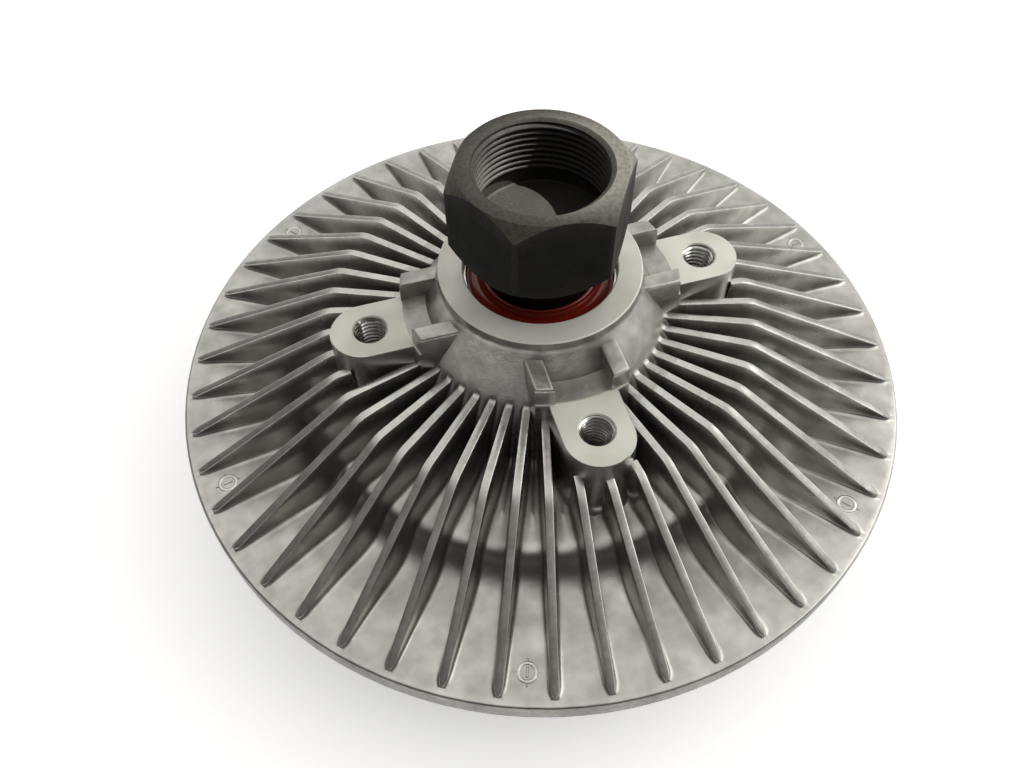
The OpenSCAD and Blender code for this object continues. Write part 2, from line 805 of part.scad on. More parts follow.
module pump_plate_screws() {
    color(STEEL)
        around(screw_count, FULL / screw_count / 2)
            translate([screw_circle_r, 0, 0]) {
                translate([0, 0, z_floor_in + free_gap])
                    cylinder(r = screw_r, h = z_plate_top - z_floor_in);
                translate([0, 0, z_plate_top])
                    cylinder(r = screw_head_r, h = screw_head_t);
            }
}

module pump_wiper() {
    color(RUBBER)
        translate([wiper_r, 0, z_plate_top]) {
            translate([-wiper_l / 2, -wiper_w / 2, 0])
                cube([wiper_l, wiper_w, plate_run - wiper_gap]);
            translate([0, 0, -plate_t])
                cylinder(r = peg_r, h = plate_t + plate_run / 4);
        }
}

module valve_arm() {
    color(STEEL)
        translate([0, 0, z_arm])
            difference() {
                linear_extrude(height = arm_t) {
                    circle(r = collar_r + CUT);
                    translate([0, -arm_w / 2])
                        square([arm_l, arm_w]);
                    translate([arm_l, 0])
                        circle(r = port_r + arm_lap);
                }
                translate([0, 0, -CUT])
                    cylinder(r = arm_pin_r + seat_gap, h = arm_t + 2 * CUT);
            }
}

// Collar inside the cover, a pin for the arm and a slotted end for the coil
module valve_shaft() {
    color(STEEL)
        difference() {
            rotate_extrude()
                polygon([[0, coil_foot], [valve_r, coil_foot], [valve_r, z_floor_in + free_gap],
                         [collar_r, z_floor_in + free_gap], [collar_r, z_arm], [arm_pin_r, z_arm],
                         [arm_pin_r, z_arm_top], [0, z_arm_top]]);
            translate([-valve_r - CUT, -slot_w / 2, coil_foot - CUT])
                cube([2 * valve_r + 2 * CUT, slot_w, coil_w + CUT + coil_gap]);
        }
}

module valve_bush() {
    color(BRONZE)
        ring(valve_r + run_gap, bush_r - seat_gap, z_bush, z_shaft_seal);
}

module valve_shaft_seal() {
    color(RUBBER)
        ring(valve_r + run_gap, bush_r - seat_gap, z_shaft_seal, z_floor_in);
}

// Spiral strip: radius of its inner side at a turn angle
coil_steps = 24;
coil_pitch = (coil_end_r - coil_r) / coil_turns;
function coil_at(a) = coil_r + coil_pitch * a / FULL;
coil_angles = [for (i = [0 : coil_turns * coil_steps]) i * FULL / coil_steps];

// The strip starts as a straight tail in the shaft's slot and ends in a tail held by the bracket
module bimetal_coil() {
    color(BIMETAL)
        translate([0, 0, coil_foot])
            linear_extrude(height = coil_w) {
                polygon(concat(
                    [for (a = coil_angles) (coil_at(a) + coil_t) * [cos(a), sin(a)]],
                    [for (i = [len(coil_angles) - 1 : -1 : 0]) let (a = coil_angles[i])
                        coil_at(a) * [cos(a), sin(a)]]));
                translate([-valve_r, -coil_t / 2])
                    square([valve_r + coil_r + coil_t / 2, coil_t]);
                translate([coil_end_r, -coil_t / 2])
                    square([coil_t + coil_gap + bracket_t, coil_t]);
            }
}

// Places of the two bracket screws beside the coil's outer tail
module bracket_screw_places() {
    for (side = [-1, 1])
        translate([bracket_r + bracket_t + bracket_foot / 2, side * bracket_w / 4, 0])
            children();
}

// Bent steel angle: a foot on the cover's floor and an upright with a slot for the coil's tail
module coil_bracket() {
    color(STEEL)
        difference() {
            union() {
                translate([bracket_r, -bracket_w / 2, coil_foot])
                    cube([bracket_t, bracket_w, z_floor_out - coil_foot]);
                translate([bracket_r, -bracket_w / 2, z_floor_out - bracket_t])
                    cube([bracket_foot_l, bracket_w, bracket_t]);
            }
            translate([bracket_r - CUT, -slot_w / 2, coil_foot - CUT])
                cube([bracket_t + 2 * CUT, slot_w, coil_w + CUT + coil_gap]);
            bracket_screw_places()
                translate([0, 0, z_floor_out - bracket_t - CUT])
                    cylinder(r = bracket_screw_r + seat_gap, h = bracket_t + 2 * CUT);
        }
}

module coil_bracket_screws() {
    color(STEEL)
        bracket_screw_places() {
            translate([0, 0, z_floor_out - bracket_t])
                cylinder(r = bracket_screw_r, h = bracket_t + cover_floor_t / 2 - free_gap);
            translate([0, 0, z_floor_out - 2 * bracket_t])
                cylinder(r = bracket_head_r, h = bracket_t);
        }
}

rear_housing();
front_cover();
cover_seal_ring();
drive_shaft();
bearing_outer_race();
bearing_inner_race();
bearing_balls();
bearing_cage();
bearing_rear_seal();
bearing_front_seal();
bearing_retaining_ring();
rotor();
rotor_lock_ring();
pump_plate();
pump_plate_screws();
pump_wiper();
valve_arm();
valve_shaft();
valve_bush();
valve_shaft_seal();
bimetal_coil();
coil_bracket();
coil_bracket_screws();
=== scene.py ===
"""Looks of a viscous fan clutch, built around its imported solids."""
import logging
import math
from dataclasses import dataclass, field
from enum import Enum
from functools import lru_cache
from typing import Optional, Sequence

import bmesh
import bpy
import numpy as np
from mathutils import Matrix, Vector
from mathutils.geometry import tessellate_polygon


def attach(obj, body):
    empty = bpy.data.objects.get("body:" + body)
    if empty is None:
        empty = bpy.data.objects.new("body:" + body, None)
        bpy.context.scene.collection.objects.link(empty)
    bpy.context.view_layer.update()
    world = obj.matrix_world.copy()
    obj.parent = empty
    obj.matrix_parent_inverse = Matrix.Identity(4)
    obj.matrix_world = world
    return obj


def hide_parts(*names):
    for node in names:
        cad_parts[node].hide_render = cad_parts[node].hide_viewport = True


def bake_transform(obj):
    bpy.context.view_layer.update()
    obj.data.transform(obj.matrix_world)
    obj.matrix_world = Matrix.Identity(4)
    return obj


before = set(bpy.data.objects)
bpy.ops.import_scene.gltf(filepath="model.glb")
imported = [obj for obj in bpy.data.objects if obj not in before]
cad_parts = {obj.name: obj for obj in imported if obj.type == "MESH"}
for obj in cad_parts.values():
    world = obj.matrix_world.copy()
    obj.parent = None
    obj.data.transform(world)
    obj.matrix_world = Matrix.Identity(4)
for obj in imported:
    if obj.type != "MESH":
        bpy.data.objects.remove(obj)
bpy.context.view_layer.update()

LOG = logging.getLogger("fan_clutch")
MM = 0.001
TURN = 2.0 * math.pi
PAINTED_LIGHT_AND_WEAR = "painted_light_and_wear"
MERGE_M = 2e-6
SLIVER_M = 1e-7
NOISE_SPAN = (0.3, 0.7)
MIX_FIRST, MIX_SECOND, MIX_RESULT = 6, 7, 2
UP = Vector((0.0, 0.0, 1.0))

Colour = tuple[float, float, float]
Point = tuple[float, float, float]
Levels = tuple[float, float, float, float]
Pair = tuple[float, float]
Pairs = tuple[Pair, ...]
Socket = bpy.types.NodeSocket

BOSSES = 4
MARK_PLACES: Pairs = ((84.4, -14.5), (84.5, -6.5), (84.5, -22.5), (85.2, 1.5), (85.1, 17.5))


class Body(Enum):
    """CAD bodies that pieces ride on."""

    HOUSING = "housing"
    SHAFT = "shaft"
    VALVE = "valve"


class Slot(Enum):
    """The record's material slots, one named for each piece."""

    CAST = "cast"
    PHOSPHATE = "phosphate"
    SEAL_RED = "seal_red"
    BIMETAL = "bimetal"


class NodeDesk:
    """Lays out the nodes of one material or of the world."""

    def __init__(self, owner: bpy.types.ID, shader: str = "Principled BSDF", place: str = "Object") -> None:
        """Starts with the owner's shader and its coordinates.

        Args:
            owner: The material or world.
            shader: Name of its shader node.
            place: Name of the coordinates.
        """
        owner.use_nodes = True
        self.tree = owner.node_tree
        self.shader = self.tree.nodes[shader]
        self.place = self.add("ShaderNodeTexCoord").outputs[place]

    def feed(self, target: Socket, value: object) -> None:
        """Links a socket into a target, or sets a plain value on it.

        Args:
            target: Input of a node.
            value: The socket or value, a colour without its alpha.
        """
        if isinstance(value, bpy.types.NodeSocket):
            self.tree.links.new(value, target)
        else:
            target.default_value = (*value, 1.0) if target.type == "RGBA" else value

    def add(self, kind: str, feeds: Optional[dict[object, object]] = None,
            **settings: object) -> bpy.types.Node:
        """Adds a node, sets its properties and feeds its inputs.

        Args:
            kind: Type name of the node.
            feeds: Sockets and values by the input's name or number.
            settings: Properties of the node by name.

        Returns:
            The new node.
        """
        node = self.tree.nodes.new(kind)
        for key, value in settings.items():
            setattr(node, key, value)
        for key, value in (feeds or {}).items():
            self.feed(node.inputs[key], value)
        return node

    def set(self, **feeds: object) -> None:
        """Feeds inputs of the shader, with an underscore for each space in their names."""
        for key, value in feeds.items():
            self.feed(self.shader.inputs[key.replace("_", " ")], value)

    def vector(self, operation: str, second: Sequence[float]) -> bpy.types.Node:
        """A node that works on the coordinates and a second vector."""
        return self.add("ShaderNodeVectorMath", {0: self.place, 1: tuple(second)}, operation=operation)

    def noise(self, size_mm: float, detail: float = 3.0, stretch: Optional[Point] = None) -> Socket:
        """Noise with features of a given size.

        Args:
            size_mm: Size of the largest features.
            detail: Octaves of finer noise.
            stretch: Scale of the coordinates along each axis.

        Returns:
            The noise value, from 0 to 1.
        """
        place = self.place if stretch is None else self.vector("MULTIPLY", stretch).outputs[0]
        feeds = {"Vector": place, "Scale": 1.0 / (size_mm * MM), "Detail": detail}
        return self.add("ShaderNodeTexNoise", feeds).outputs["Fac"]

    def radius(self) -> Socket:
        """Distance from the shaft axis, in metres."""
        flat = self.vector("MULTIPLY", (1.0, 1.0, 0.0)).outputs[0]
        return self.add("ShaderNodeVectorMath", {0: flat}, operation="LENGTH").outputs["Value"]

    def math(self, operation: str, first: object, second: object = 0.0) -> Socket:
        """Result of one arithmetic node."""
        return self.add("ShaderNodeMath", {0: first, 1: second}, operation=operation).outputs[0]

    def spread(self, value: Socket, low: float, high: float, to_low: float, to_high: float,
               kind: str = "LINEAR") -> Socket:
        """Maps a value from one range to another and clamps it."""
        feeds = {"Value": value, "From Min": low, "From Max": high, "To Min": to_low, "To Max": to_high}
        return self.add("ShaderNodeMapRange", feeds, interpolation_type=kind).outputs["Result"]

    def blend(self, share: object, first: object, second: object) -> Socket:
        """Mix of two colours by the share of the second one."""
        feeds = {0: share, MIX_FIRST: first, MIX_SECOND: second}
        return self.add("ShaderNodeMix", feeds, data_type="RGBA").outputs[MIX_RESULT]

    def mark(self, name: str) -> Socket:
        """Value of a vertex attribute."""
        return self.add("ShaderNodeAttribute", attribute_name=name).outputs["Fac"]

    def bump(self, height: Socket, depth_mm: float, strength: float, **under: Socket) -> Socket:
        """Normal of a surface with a fine relief, over the Normal of another relief if that is given."""
        feeds = {"Height": height, "Distance": depth_mm * MM, "Strength": strength, **under}
        return self.add("ShaderNodeBump", feeds).outputs["Normal"]


@dataclass(frozen=True)
class Finish:
    """A plain metal or plastic with soft clouds in its colour and gloss."""

    name: str
    colour: Colour
    roughness: float
    metallic: float = 1.0
    cloud_mm: float = 6.0
    cloud_detail: float = 3.0
    grain_mm: float = 0.4
    grain_detail: float = 2.0
    grain_depth: float = 0.02
    grain_strength: float = 0.6
    gloss_shares: Pair = (1.15, 0.85)
    darker: float = 0.75

    def shade(self, share: float) -> Colour:
        """The finish's colour times a share."""
        return tuple(c * share for c in self.colour)

    def clouds(self, desk: NodeDesk) -> Socket:
        """Soft clouds of the finish's size."""
        return desk.noise(self.cloud_mm, self.cloud_detail)

    def grain(self, desk: NodeDesk) -> Socket:
        """Normal of the finish's fine grain."""
        return desk.bump(desk.noise(self.grain_mm, self.grain_detail), self.grain_depth, self.grain_strength)

    def gloss(self, desk: NodeDesk, cloud: Socket) -> Socket:
        """Roughness that goes with the clouds, from one share of the finish's own to another."""
        return desk.spread(cloud, *NOISE_SPAN, *(self.roughness * share for share in self.gloss_shares))

    def dress(self, desk: NodeDesk) -> None:
        """Lays out the clouds and the grain.

        Args:
            desk: Where the nodes go.
        """
        cloud = self.clouds(desk)
        desk.set(Base_Color=desk.blend(cloud, self.shade(self.darker), self.colour), Metallic=self.metallic,
                 Roughness=self.gloss(desk, cloud), Normal=self.grain(desk))


@dataclass(frozen=True)
class CastFinish(Finish):
    """Die-cast aluminium: clouded skin, fine grain, painted highlights with rub on edges, and painted shade in
    gaps, hollows and on sloped crests.
    """

    cloud_detail: float = 4.0
    cloud_span: Pair = (0.32, 0.68)
    grain_detail: float = 3.0
    grain_strength: float = 0.5
    gloss_shares: Pair = (0.85, 1.2)
    bright: Colour = (0.86, 0.85, 0.82)
    # Colour of painted shade, mixed in where the painted light and wear attribute is below zero.
    painted_shade: Colour = (0.085, 0.080, 0.074)
    pit_mm: float = 1.6
    pit_depth: float = 0.05
    pit_strength: float = 0.35
    spot_detail: float = 4.0
    flow_share: float = 0.6
    flow_size: float = 2.2
    flow_detail: float = 5.0
    flow_span: Pair = (0.42, 0.66)
    flow_stretch: Point = (1.0, 1.0, 0.4)
    flow_dark: float = 0.85
    painted_shade_mm: float = 1.2
    painted_shade_levels: Levels = (0.35, 0.65, 0.7, 1.0)
    painted_shade_dull: float = 0.25
    # Noise and gloss of the painted highlights and rub, where the attribute is above zero.
    light_and_rub_mm: float = 1.1
    light_and_rub_levels: Levels = (0.3, 0.6, 0.35, 1.0)
    light_and_rub_gloss: float = 0.08

    def dress(self, desk: NodeDesk) -> None:
        """Lays out the skin, the grain, the painted highlights with rub and the painted shade.

        Args:
            desk: Where the nodes go.
        """
        cloud = desk.spread(self.clouds(desk), *self.cloud_span, 0.0, 1.0)
        flow = desk.noise(self.flow_size * self.cloud_mm, self.flow_detail, self.flow_stretch)
        skin = desk.blend(cloud, self.shade(self.darker), self.colour)
        skin = desk.blend(desk.spread(flow, *self.flow_span, 0.0, self.flow_share), skin,
                          self.shade(self.darker * self.flow_dark))
        # Below zero the attribute paints shade in a dark colour, above zero it paints highlights and rub in a
        # pale colour.
        mark = desk.mark(PAINTED_LIGHT_AND_WEAR)
        shade_mask = desk.math("MULTIPLY", desk.spread(mark, -1.0, 0.0, 1.0, 0.0),
                         desk.spread(desk.noise(self.painted_shade_mm, self.spot_detail), *self.painted_shade_levels))
        skin = desk.blend(shade_mask, skin, self.painted_shade)
        painted_light_and_wear = desk.math("MULTIPLY", desk.spread(mark, 0.0, 1.0, 0.0, 1.0),
                         desk.spread(desk.noise(self.light_and_rub_mm), *self.light_and_rub_levels))
        dull = desk.math("MULTIPLY", shade_mask, self.painted_shade_dull)
        rough = desk.math("ADD", self.gloss(desk, flow), dull)
        pits = desk.noise(self.pit_mm, self.spot_detail)
        desk.set(Base_Color=desk.blend(painted_light_and_wear, skin, self.bright), Metallic=self.metallic,
                 Roughness=desk.math("SUBTRACT", rough, desk.math("MULTIPLY", painted_light_and_wear, self.light_and_rub_gloss)),
                 Normal=desk.bump(pits, self.pit_depth, self.pit_strength, Normal=self.grain(desk)))


@dataclass(frozen=True)
class TurnedFinish(Finish):
    """A face turned on the lathe, with fine rings around the shaft axis."""

    cloud_detail: float = 4.0
    grain_strength: float = 0.4
    gloss_shares: Pair = (1.2, 0.85)
    pitch_mm: float = 0.42
    ring_depth: float = 0.006
    ring_strength: float = 0.5
    ring_fade_mm: float = 1.5

    def dress(self, desk: NodeDesk) -> None:
        """Lays out the rings and the slight clouding of the face.

        Args:
            desk: Where the nodes go.
        """
        cloud = self.clouds(desk)
        rings = desk.math("SINE", desk.math("MULTIPLY", desk.radius(), TURN / (self.pitch_mm * MM)))
        uneven = desk.math("MULTIPLY", rings, desk.noise(self.ring_fade_mm, self.grain_detail))
        desk.set(Base_Color=desk.blend(cloud, self.shade(self.darker), self.colour), Metallic=self.metallic,
                 Roughness=self.gloss(desk, cloud),
                 Normal=desk.bump(uneven, self.ring_depth, self.ring_strength, Normal=self.grain(desk)))


@dataclass(frozen=True)
class PhosphateFinish(Finish):
    """Steel under a dull dark phosphate skin, made paler by painted light on the top face, chamfers and mouth
    edge, and paler at the corners and on the thread.
    """

    cloud_detail: float = 4.0
    grain_detail: float = 3.0
    gloss_shares: Pair = (1.1, 0.88)
    bright: Colour = (0.13, 0.12, 0.11)
    specular: float = 0.2
    speck_mm: float = 0.55
    speck_detail: float = 2.0
    speck_levels: Levels = (0.58, 0.75, 0.0, 0.25)
    light_and_rub_mm: float = 0.9
    light_and_rub_levels: Levels = (0.35, 0.6, 0.5, 1.0)

    def dress(self, desk: NodeDesk) -> None:
        """Lays out the grain, the cloudy tone, and the paler painted light and corners.

        Args:
            desk: Where the nodes go.
        """
        cloud = self.clouds(desk)
        speck = desk.spread(desk.noise(self.speck_mm, self.speck_detail), *self.speck_levels)
        skin = desk.blend(desk.spread(cloud, *NOISE_SPAN, 0.0, 1.0), self.shade(self.darker), self.colour)
        skin = desk.blend(speck, skin, self.bright)
        # Paler colour where the attribute is above zero: painted light on the face, chamfers and mouth edge,
        # and paler corners and thread.
        light_and_rub = desk.spread(desk.noise(self.light_and_rub_mm), *self.light_and_rub_levels)
        desk.set(Base_Color=desk.blend(desk.math("MULTIPLY", desk.mark(PAINTED_LIGHT_AND_WEAR), light_and_rub), skin, self.bright),
                 Metallic=self.metallic, Specular_IOR_Level=self.specular,
                 Roughness=self.gloss(desk, cloud), Normal=self.grain(desk))


# Pale colour of the cast skin's painted highlights on crests, edges and marks, and of rub.
HIGHLIGHT_AND_RUB = (0.76, 0.75, 0.73)
CAST = CastFinish("cast_aluminium", (0.575, 0.568, 0.543), 0.31, cloud_mm=5.5, grain_mm=0.5, grain_depth=0.02,
                  pit_mm=3.5, pit_depth=0.2, bright=HIGHLIGHT_AND_RUB, darker=0.68, flow_share=0.45)
CAST_ROUGH = CastFinish("cast_hub_skin", (0.52, 0.51, 0.48), 0.38, cloud_mm=4.0, grain_depth=0.1, pit_mm=1.3,
                        pit_depth=0.22, bright=HIGHLIGHT_AND_RUB, darker=0.64, flow_share=0.55)
TURNED = TurnedFinish("turned_aluminium", (0.80, 0.79, 0.735), 0.72, 0.7, cloud_mm=9.0, grain_depth=0.006,
                      darker=0.93)
# Painted shade deepens towards the bottom of each boss hole, in this finish's dark colour.
THREAD_BRIGHT = CastFinish("cut_thread_aluminium", (0.76, 0.75, 0.72), 0.18, cloud_mm=1.5, grain_depth=0.004,
                           pit_depth=0.004, painted_shade=(0.012, 0.011, 0.010), darker=0.85, flow_share=0.1)
# Neck and flats far darker than the turned face: partly the skin's own dark tone, partly painted shade.
PHOSPHATE = PhosphateFinish("black_phosphate_and_painted_shade", (0.0045, 0.0044, 0.0036), 0.6, 0.0, cloud_mm=7.0, grain_mm=0.5,
                            grain_depth=0.12, bright=(0.03, 0.028, 0.024), specular=0.12)
PHOSPHATE_FACE = PhosphateFinish("turned_phosphate", (0.030, 0.0285, 0.024), 0.5, 0.0, cloud_mm=6.0,
                                 grain_depth=0.06, bright=(0.11, 0.104, 0.088), specular=0.15)
SEAL_RED = Finish("red_seal_rubber", (0.24, 0.017, 0.007), 0.2, 0.0, cloud_mm=3.0, grain_depth=0.008,
                  darker=0.7)
RUBBER = Finish("black_rubber", (0.02, 0.02, 0.02), 0.55, 0.0, grain_depth=0.01)
BEARING_STEEL = Finish("bearing_steel", (0.72, 0.72, 0.73), 0.16, cloud_mm=3.0, grain_depth=0.003, darker=0.9)
SPRING_STEEL = Finish("spring_steel", (0.22, 0.22, 0.23), 0.4, grain_depth=0.01)
ZINC = Finish("zinc_steel", (0.66, 0.66, 0.62), 0.33, cloud_mm=2.5, grain_depth=0.01, darker=0.8)
BRONZE = Finish("sintered_bronze", (0.60, 0.40, 0.20), 0.42, cloud_mm=1.5, grain_mm=0.25, grain_depth=0.02)
BIMETAL = Finish("bimetal_strip", (0.62, 0.55, 0.43), 0.3, cloud_mm=4.0, grain_depth=0.008, darker=0.7)
WIPER = Finish("wiper_plastic", (0.80, 0.78, 0.72), 0.5, 0.0, grain_depth=0.01, darker=0.92)

NODE_FINISH: dict[str, Finish] = {
    "cover_seal_ring": RUBBER, "bearing_outer_race": BEARING_STEEL, "bearing_inner_race": BEARING_STEEL,
    "bearing_balls": BEARING_STEEL, "bearing_cage": BRONZE, "bearing_front_seal": RUBBER,
    "bearing_retaining_ring": SPRING_STEEL, "rotor": CAST, "rotor_lock_ring": SPRING_STEEL,
    "pump_plate": ZINC, "pump_plate_screws": ZINC, "pump_wiper": WIPER, "valve_arm": ZINC,
    "valve_shaft": BEARING_STEEL, "valve_bush": BRONZE, "valve_shaft_seal": RUBBER,
    "rear_housing": CAST, "front_cover": CAST, "drive_shaft": PHOSPHATE, "bearing_rear_seal": SEAL_RED,
    "bimetal_coil": BIMETAL, "coil_bracket": ZINC, "coil_bracket_screws": ZINC,
}


@lru_cache(maxsize=None)
def material_of(finish: Finish) -> bpy.types.Material:
    """Material of a finish, made once.

    Args:
        finish: The finish to lay out.

    Returns:
        Its material.
    """
    material = bpy.data.materials.new(finish.name)
    finish.dress(NodeDesk(material))
    return material


def add_object(name: str, data: bpy.types.ID) -> bpy.types.Object:
    """Puts a new object into the scene.

    Args:
        name: Name of the object.
        data: Its mesh, light or camera.

    Returns:
        The new object.
    """
    item = bpy.data.objects.new(name, data)
    bpy.context.scene.collection.objects.link(item)
    return item


def shifted(base: Pair, offsets: Sequence[Pair]) -> list[Pair]:
    """Points at given offsets from a base point."""
    return [(base[0] + u, base[1] + v) for u, v in offsets]


def ring_at(radius: object, height: object, angles: np.ndarray, centre: Pair = (0.0, 0.0)) -> np.ndarray:
    """Ring of vertices around an upright axis, with one radius and height or one for each angle."""
    return np.stack([centre[0] + radius * np.cos(angles), centre[1] + radius * np.sin(angles),
                     height + np.zeros(len(angles))], axis=1)


def arc(centre: Pair, radius: float, start: float, end: float, steps: int) -> list[Pair]:
    """Points of a circular arc from one angle to another, in radians, with a number of chords."""
    return [(centre[0] + radius * math.cos(a), centre[1] + radius * math.sin(a))
            for a in np.linspace(start, end, steps + 1)]


def rounded(before: Pair, corner: Pair, after: Pair, radius: float, steps: int = 6) -> list[Pair]:
    """Arc that rounds the corner between two straight runs.

    Args:
        before: A point on the first run.
        corner: Where the runs meet.
        after: A point on the second run.
        radius: Radius of the arc.
        steps: Number of chords.

    Returns:
        The points of the arc.
    """
    c, b, a = (np.array(p, float) for p in (corner, before, after))
    u, v = (b - c) / np.linalg.norm(b - c), (a - c) / np.linalg.norm(a - c)
    half = math.acos(float(np.clip(u @ v, -1.0, 1.0))) / 2.0
    centre = c + (u + v) / np.linalg.norm(u + v) * radius / math.sin(half)
    p, q = c + u * radius / math.tan(half), c + v * radius / math.tan(half)
    first = math.atan2(*(p - centre)[::-1])
    turn = (math.atan2(*(q - centre)[::-1]) - first + math.pi) % TURN - math.pi
    return arc(tuple(centre), radius, first, first + turn, steps)


def dense(points: Sequence[Pair], step: float) -> list[Pair]:
    """Adds points to a run so that none are further apart than a step.

    Args:
        points: Corners of the run.
        step: Longest distance between points.

    Returns:
        The run with more points.
    """
    run = [tuple(points[0])]
    for a, b in zip(points, points[1:]):
        parts = max(1, math.ceil(math.dist(a, b) / step))
        run += [tuple(np.array(a) + (np.array(b) - np.array(a)) * i / parts) for i in range(1, parts + 1)]
    return run


@dataclass(frozen=True)
class Bend:
    """Points, in millimetres, and the other body given for a springy piece's bend."""

    other: Body
    start: Point
    end: Point


@dataclass
class Shell:
    """Vertices and faces of one piece, in millimetres, gathered grid by grid."""

    points: list[np.ndarray] = field(default_factory=list)
    painted_light_and_wear: list[np.ndarray] = field(default_factory=list)
    faces: list[tuple[int, ...]] = field(default_factory=list)
    marks: list[int] = field(default_factory=list)
    count: int = 0

    def put(self, points: np.ndarray, painted_light_and_wear: Optional[np.ndarray] = None) -> int:
        """Adds vertices.

        Args:
            points: Their places, one row each.
            painted_light_and_wear: How each one looks, from -1 for painted shade to 1 for painted highlight and
                rub.

        Returns:
            Index of the first new vertex.
        """
        first = self.count
        flat = np.asarray(points, float).reshape(-1, 3)
        self.points.append(flat)
        self.painted_light_and_wear.append(np.zeros(len(flat)) if painted_light_and_wear is None else np.asarray(painted_light_and_wear, float).ravel())
        self.count += len(flat)
        return first

    def grid(self, rows: np.ndarray, marks: object = 0, wrap_rows: bool = False, wrap_columns: bool = True,
             painted_light_and_wear: Optional[np.ndarray] = None) -> int:
        """Adds a net of quads.

        Args:
            rows: Vertices by row and column.
            marks: Finish index of the whole net, or one for each strip between rows.
            wrap_rows: Joins the last row to the first.
            wrap_columns: Joins the last column to the first.
            painted_light_and_wear: Painted light and wear of each vertex.

        Returns:
            Index of the first vertex.
        """
        n, m = rows.shape[:2]
        first = self.put(rows, painted_light_and_wear)
        strips = n if wrap_rows else n - 1
        kinds = [marks] * strips if isinstance(marks, int) else marks
        for i in range(strips):
            low, high = first + i * m, first + (i + 1) % n * m
            for j in range(m if wrap_columns else m - 1):
                k = (j + 1) % m
                self.face((low + j, low + k, high + k, high + j), kinds[i])
        return first

    def face(self, corners: Sequence[int], mark: int = 0) -> None:
        """Adds one face from vertex indices."""
        self.faces.append(tuple(corners))
        self.marks.append(mark)

    def revolve(self, profile: Sequence[Pair], steps: int, painted_light_and_wear: Sequence[float]) -> None:
        """Turns a closed half section around the upright axis.

        Args:
            profile: Radius and height of its points.
            steps: Number of columns.
            painted_light_and_wear: Painted light and wear of each point of the section.
        """
        angles = np.arange(steps) * TURN / steps
        rows = [ring_at(r, z, angles) for r, z in profile]
        self.grid(np.stack(rows), 0, True, True, np.repeat(painted_light_and_wear, steps))

    def cup(self, rows: Sequence[np.ndarray], mark: int = 0, painted_light_and_wear: float = 0.0) -> None:
        """Adds a net of rings and closes the last ring with a fan around its middle.

        Args:
            rows: The rings.
            mark: Finish index.
            painted_light_and_wear: Painted light and wear of the rings.
        """
        m = len(rows[0])
        last = self.grid(np.stack(rows), mark, painted_light_and_wear=np.full((len(rows), m), painted_light_and_wear)) + (len(rows) - 1) * m
        middle = self.put(rows[-1].mean(axis=0))
        for j in range(m):
            self.face((last + j, last + (j + 1) % m, middle), mark)

    def block(self, rows: np.ndarray) -> None:
        """Adds a net of outlines and closes both its ends with one face.

        Args:
            rows: Vertices by outline.
        """
        n, m = rows.shape[:2]
        first = self.grid(rows)
        for start in (first, first + (n - 1) * m):
            self.face(range(start, start + m))

    def flat_face(self, loops: Sequence[Sequence[int]], mark: int = 0) -> None:
        """Fills a flat outline with holes.

        Args:
            loops: Vertex indices of the outline and of each hole.
            mark: Finish index.
        """
        flat = np.concatenate(self.points)
        index = [i for loop in loops for i in loop]
        for tri in tessellate_polygon([[Vector(flat[i]) for i in loop] for loop in loops]):
            self.face([index[t] for t in tri], mark)

    def build(self, name: str, finishes: Sequence[Finish], body: Body, slot: Slot,
              replaces: Sequence[str] = (), sharp_deg: float = 38.0, place: Optional[Matrix] = None,
              bend: Optional[Bend] = None) -> None:
        """Makes the piece and lets it ride on its body, unless a bend is given.

        Args:
            name: Name of the piece.
            finishes: Finishes by their index in the faces.
            body: CAD body that carries the piece.
            slot: Material slot of the record; not used.
            replaces: CAD nodes that the piece stands for.
            sharp_deg: Edges that turn by more than this stay crisp.
            place: Turn and shift of the finished mesh.
            bend: If given, the piece keeps its baked place and rides on no body; nothing bends it.
        """
        mesh = bpy.data.meshes.new(name)
        mesh.from_pydata((np.concatenate(self.points) * MM).tolist(), [], self.faces)
        mesh.polygons.foreach_set("material_index", self.marks)
        # The attribute holds painted light and wear: painted shade below zero, painted highlight and rub above
        # zero.
        painted_light_and_rub = mesh.attributes.new(PAINTED_LIGHT_AND_WEAR, "FLOAT", "POINT")
        painted_light_and_rub.data.foreach_set("value", np.concatenate(self.painted_light_and_wear).astype(np.float32))
        for finish in finishes:
            mesh.materials.append(material_of(finish))
        work = bmesh.new()
        work.from_mesh(mesh)
        bmesh.ops.remove_doubles(work, verts=work.verts, dist=MERGE_M)
        bmesh.ops.dissolve_degenerate(work, edges=work.edges, dist=SLIVER_M)
        bmesh.ops.recalc_face_normals(work, faces=work.faces)
        work.to_mesh(mesh)
        work.free()
        mesh.shade_smooth()
        mesh.set_sharp_from_angle(angle=math.radians(sharp_deg))
        if place is not None:
            mesh.transform(place)
        piece = add_object(name, mesh)
        if bend is None:
            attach(piece, body.value)
        else:
            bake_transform(piece)
        if replaces:
            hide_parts(*replaces)
        LOG.info("%s: %d faces, rides on %s", name, len(mesh.polygons), body.value)


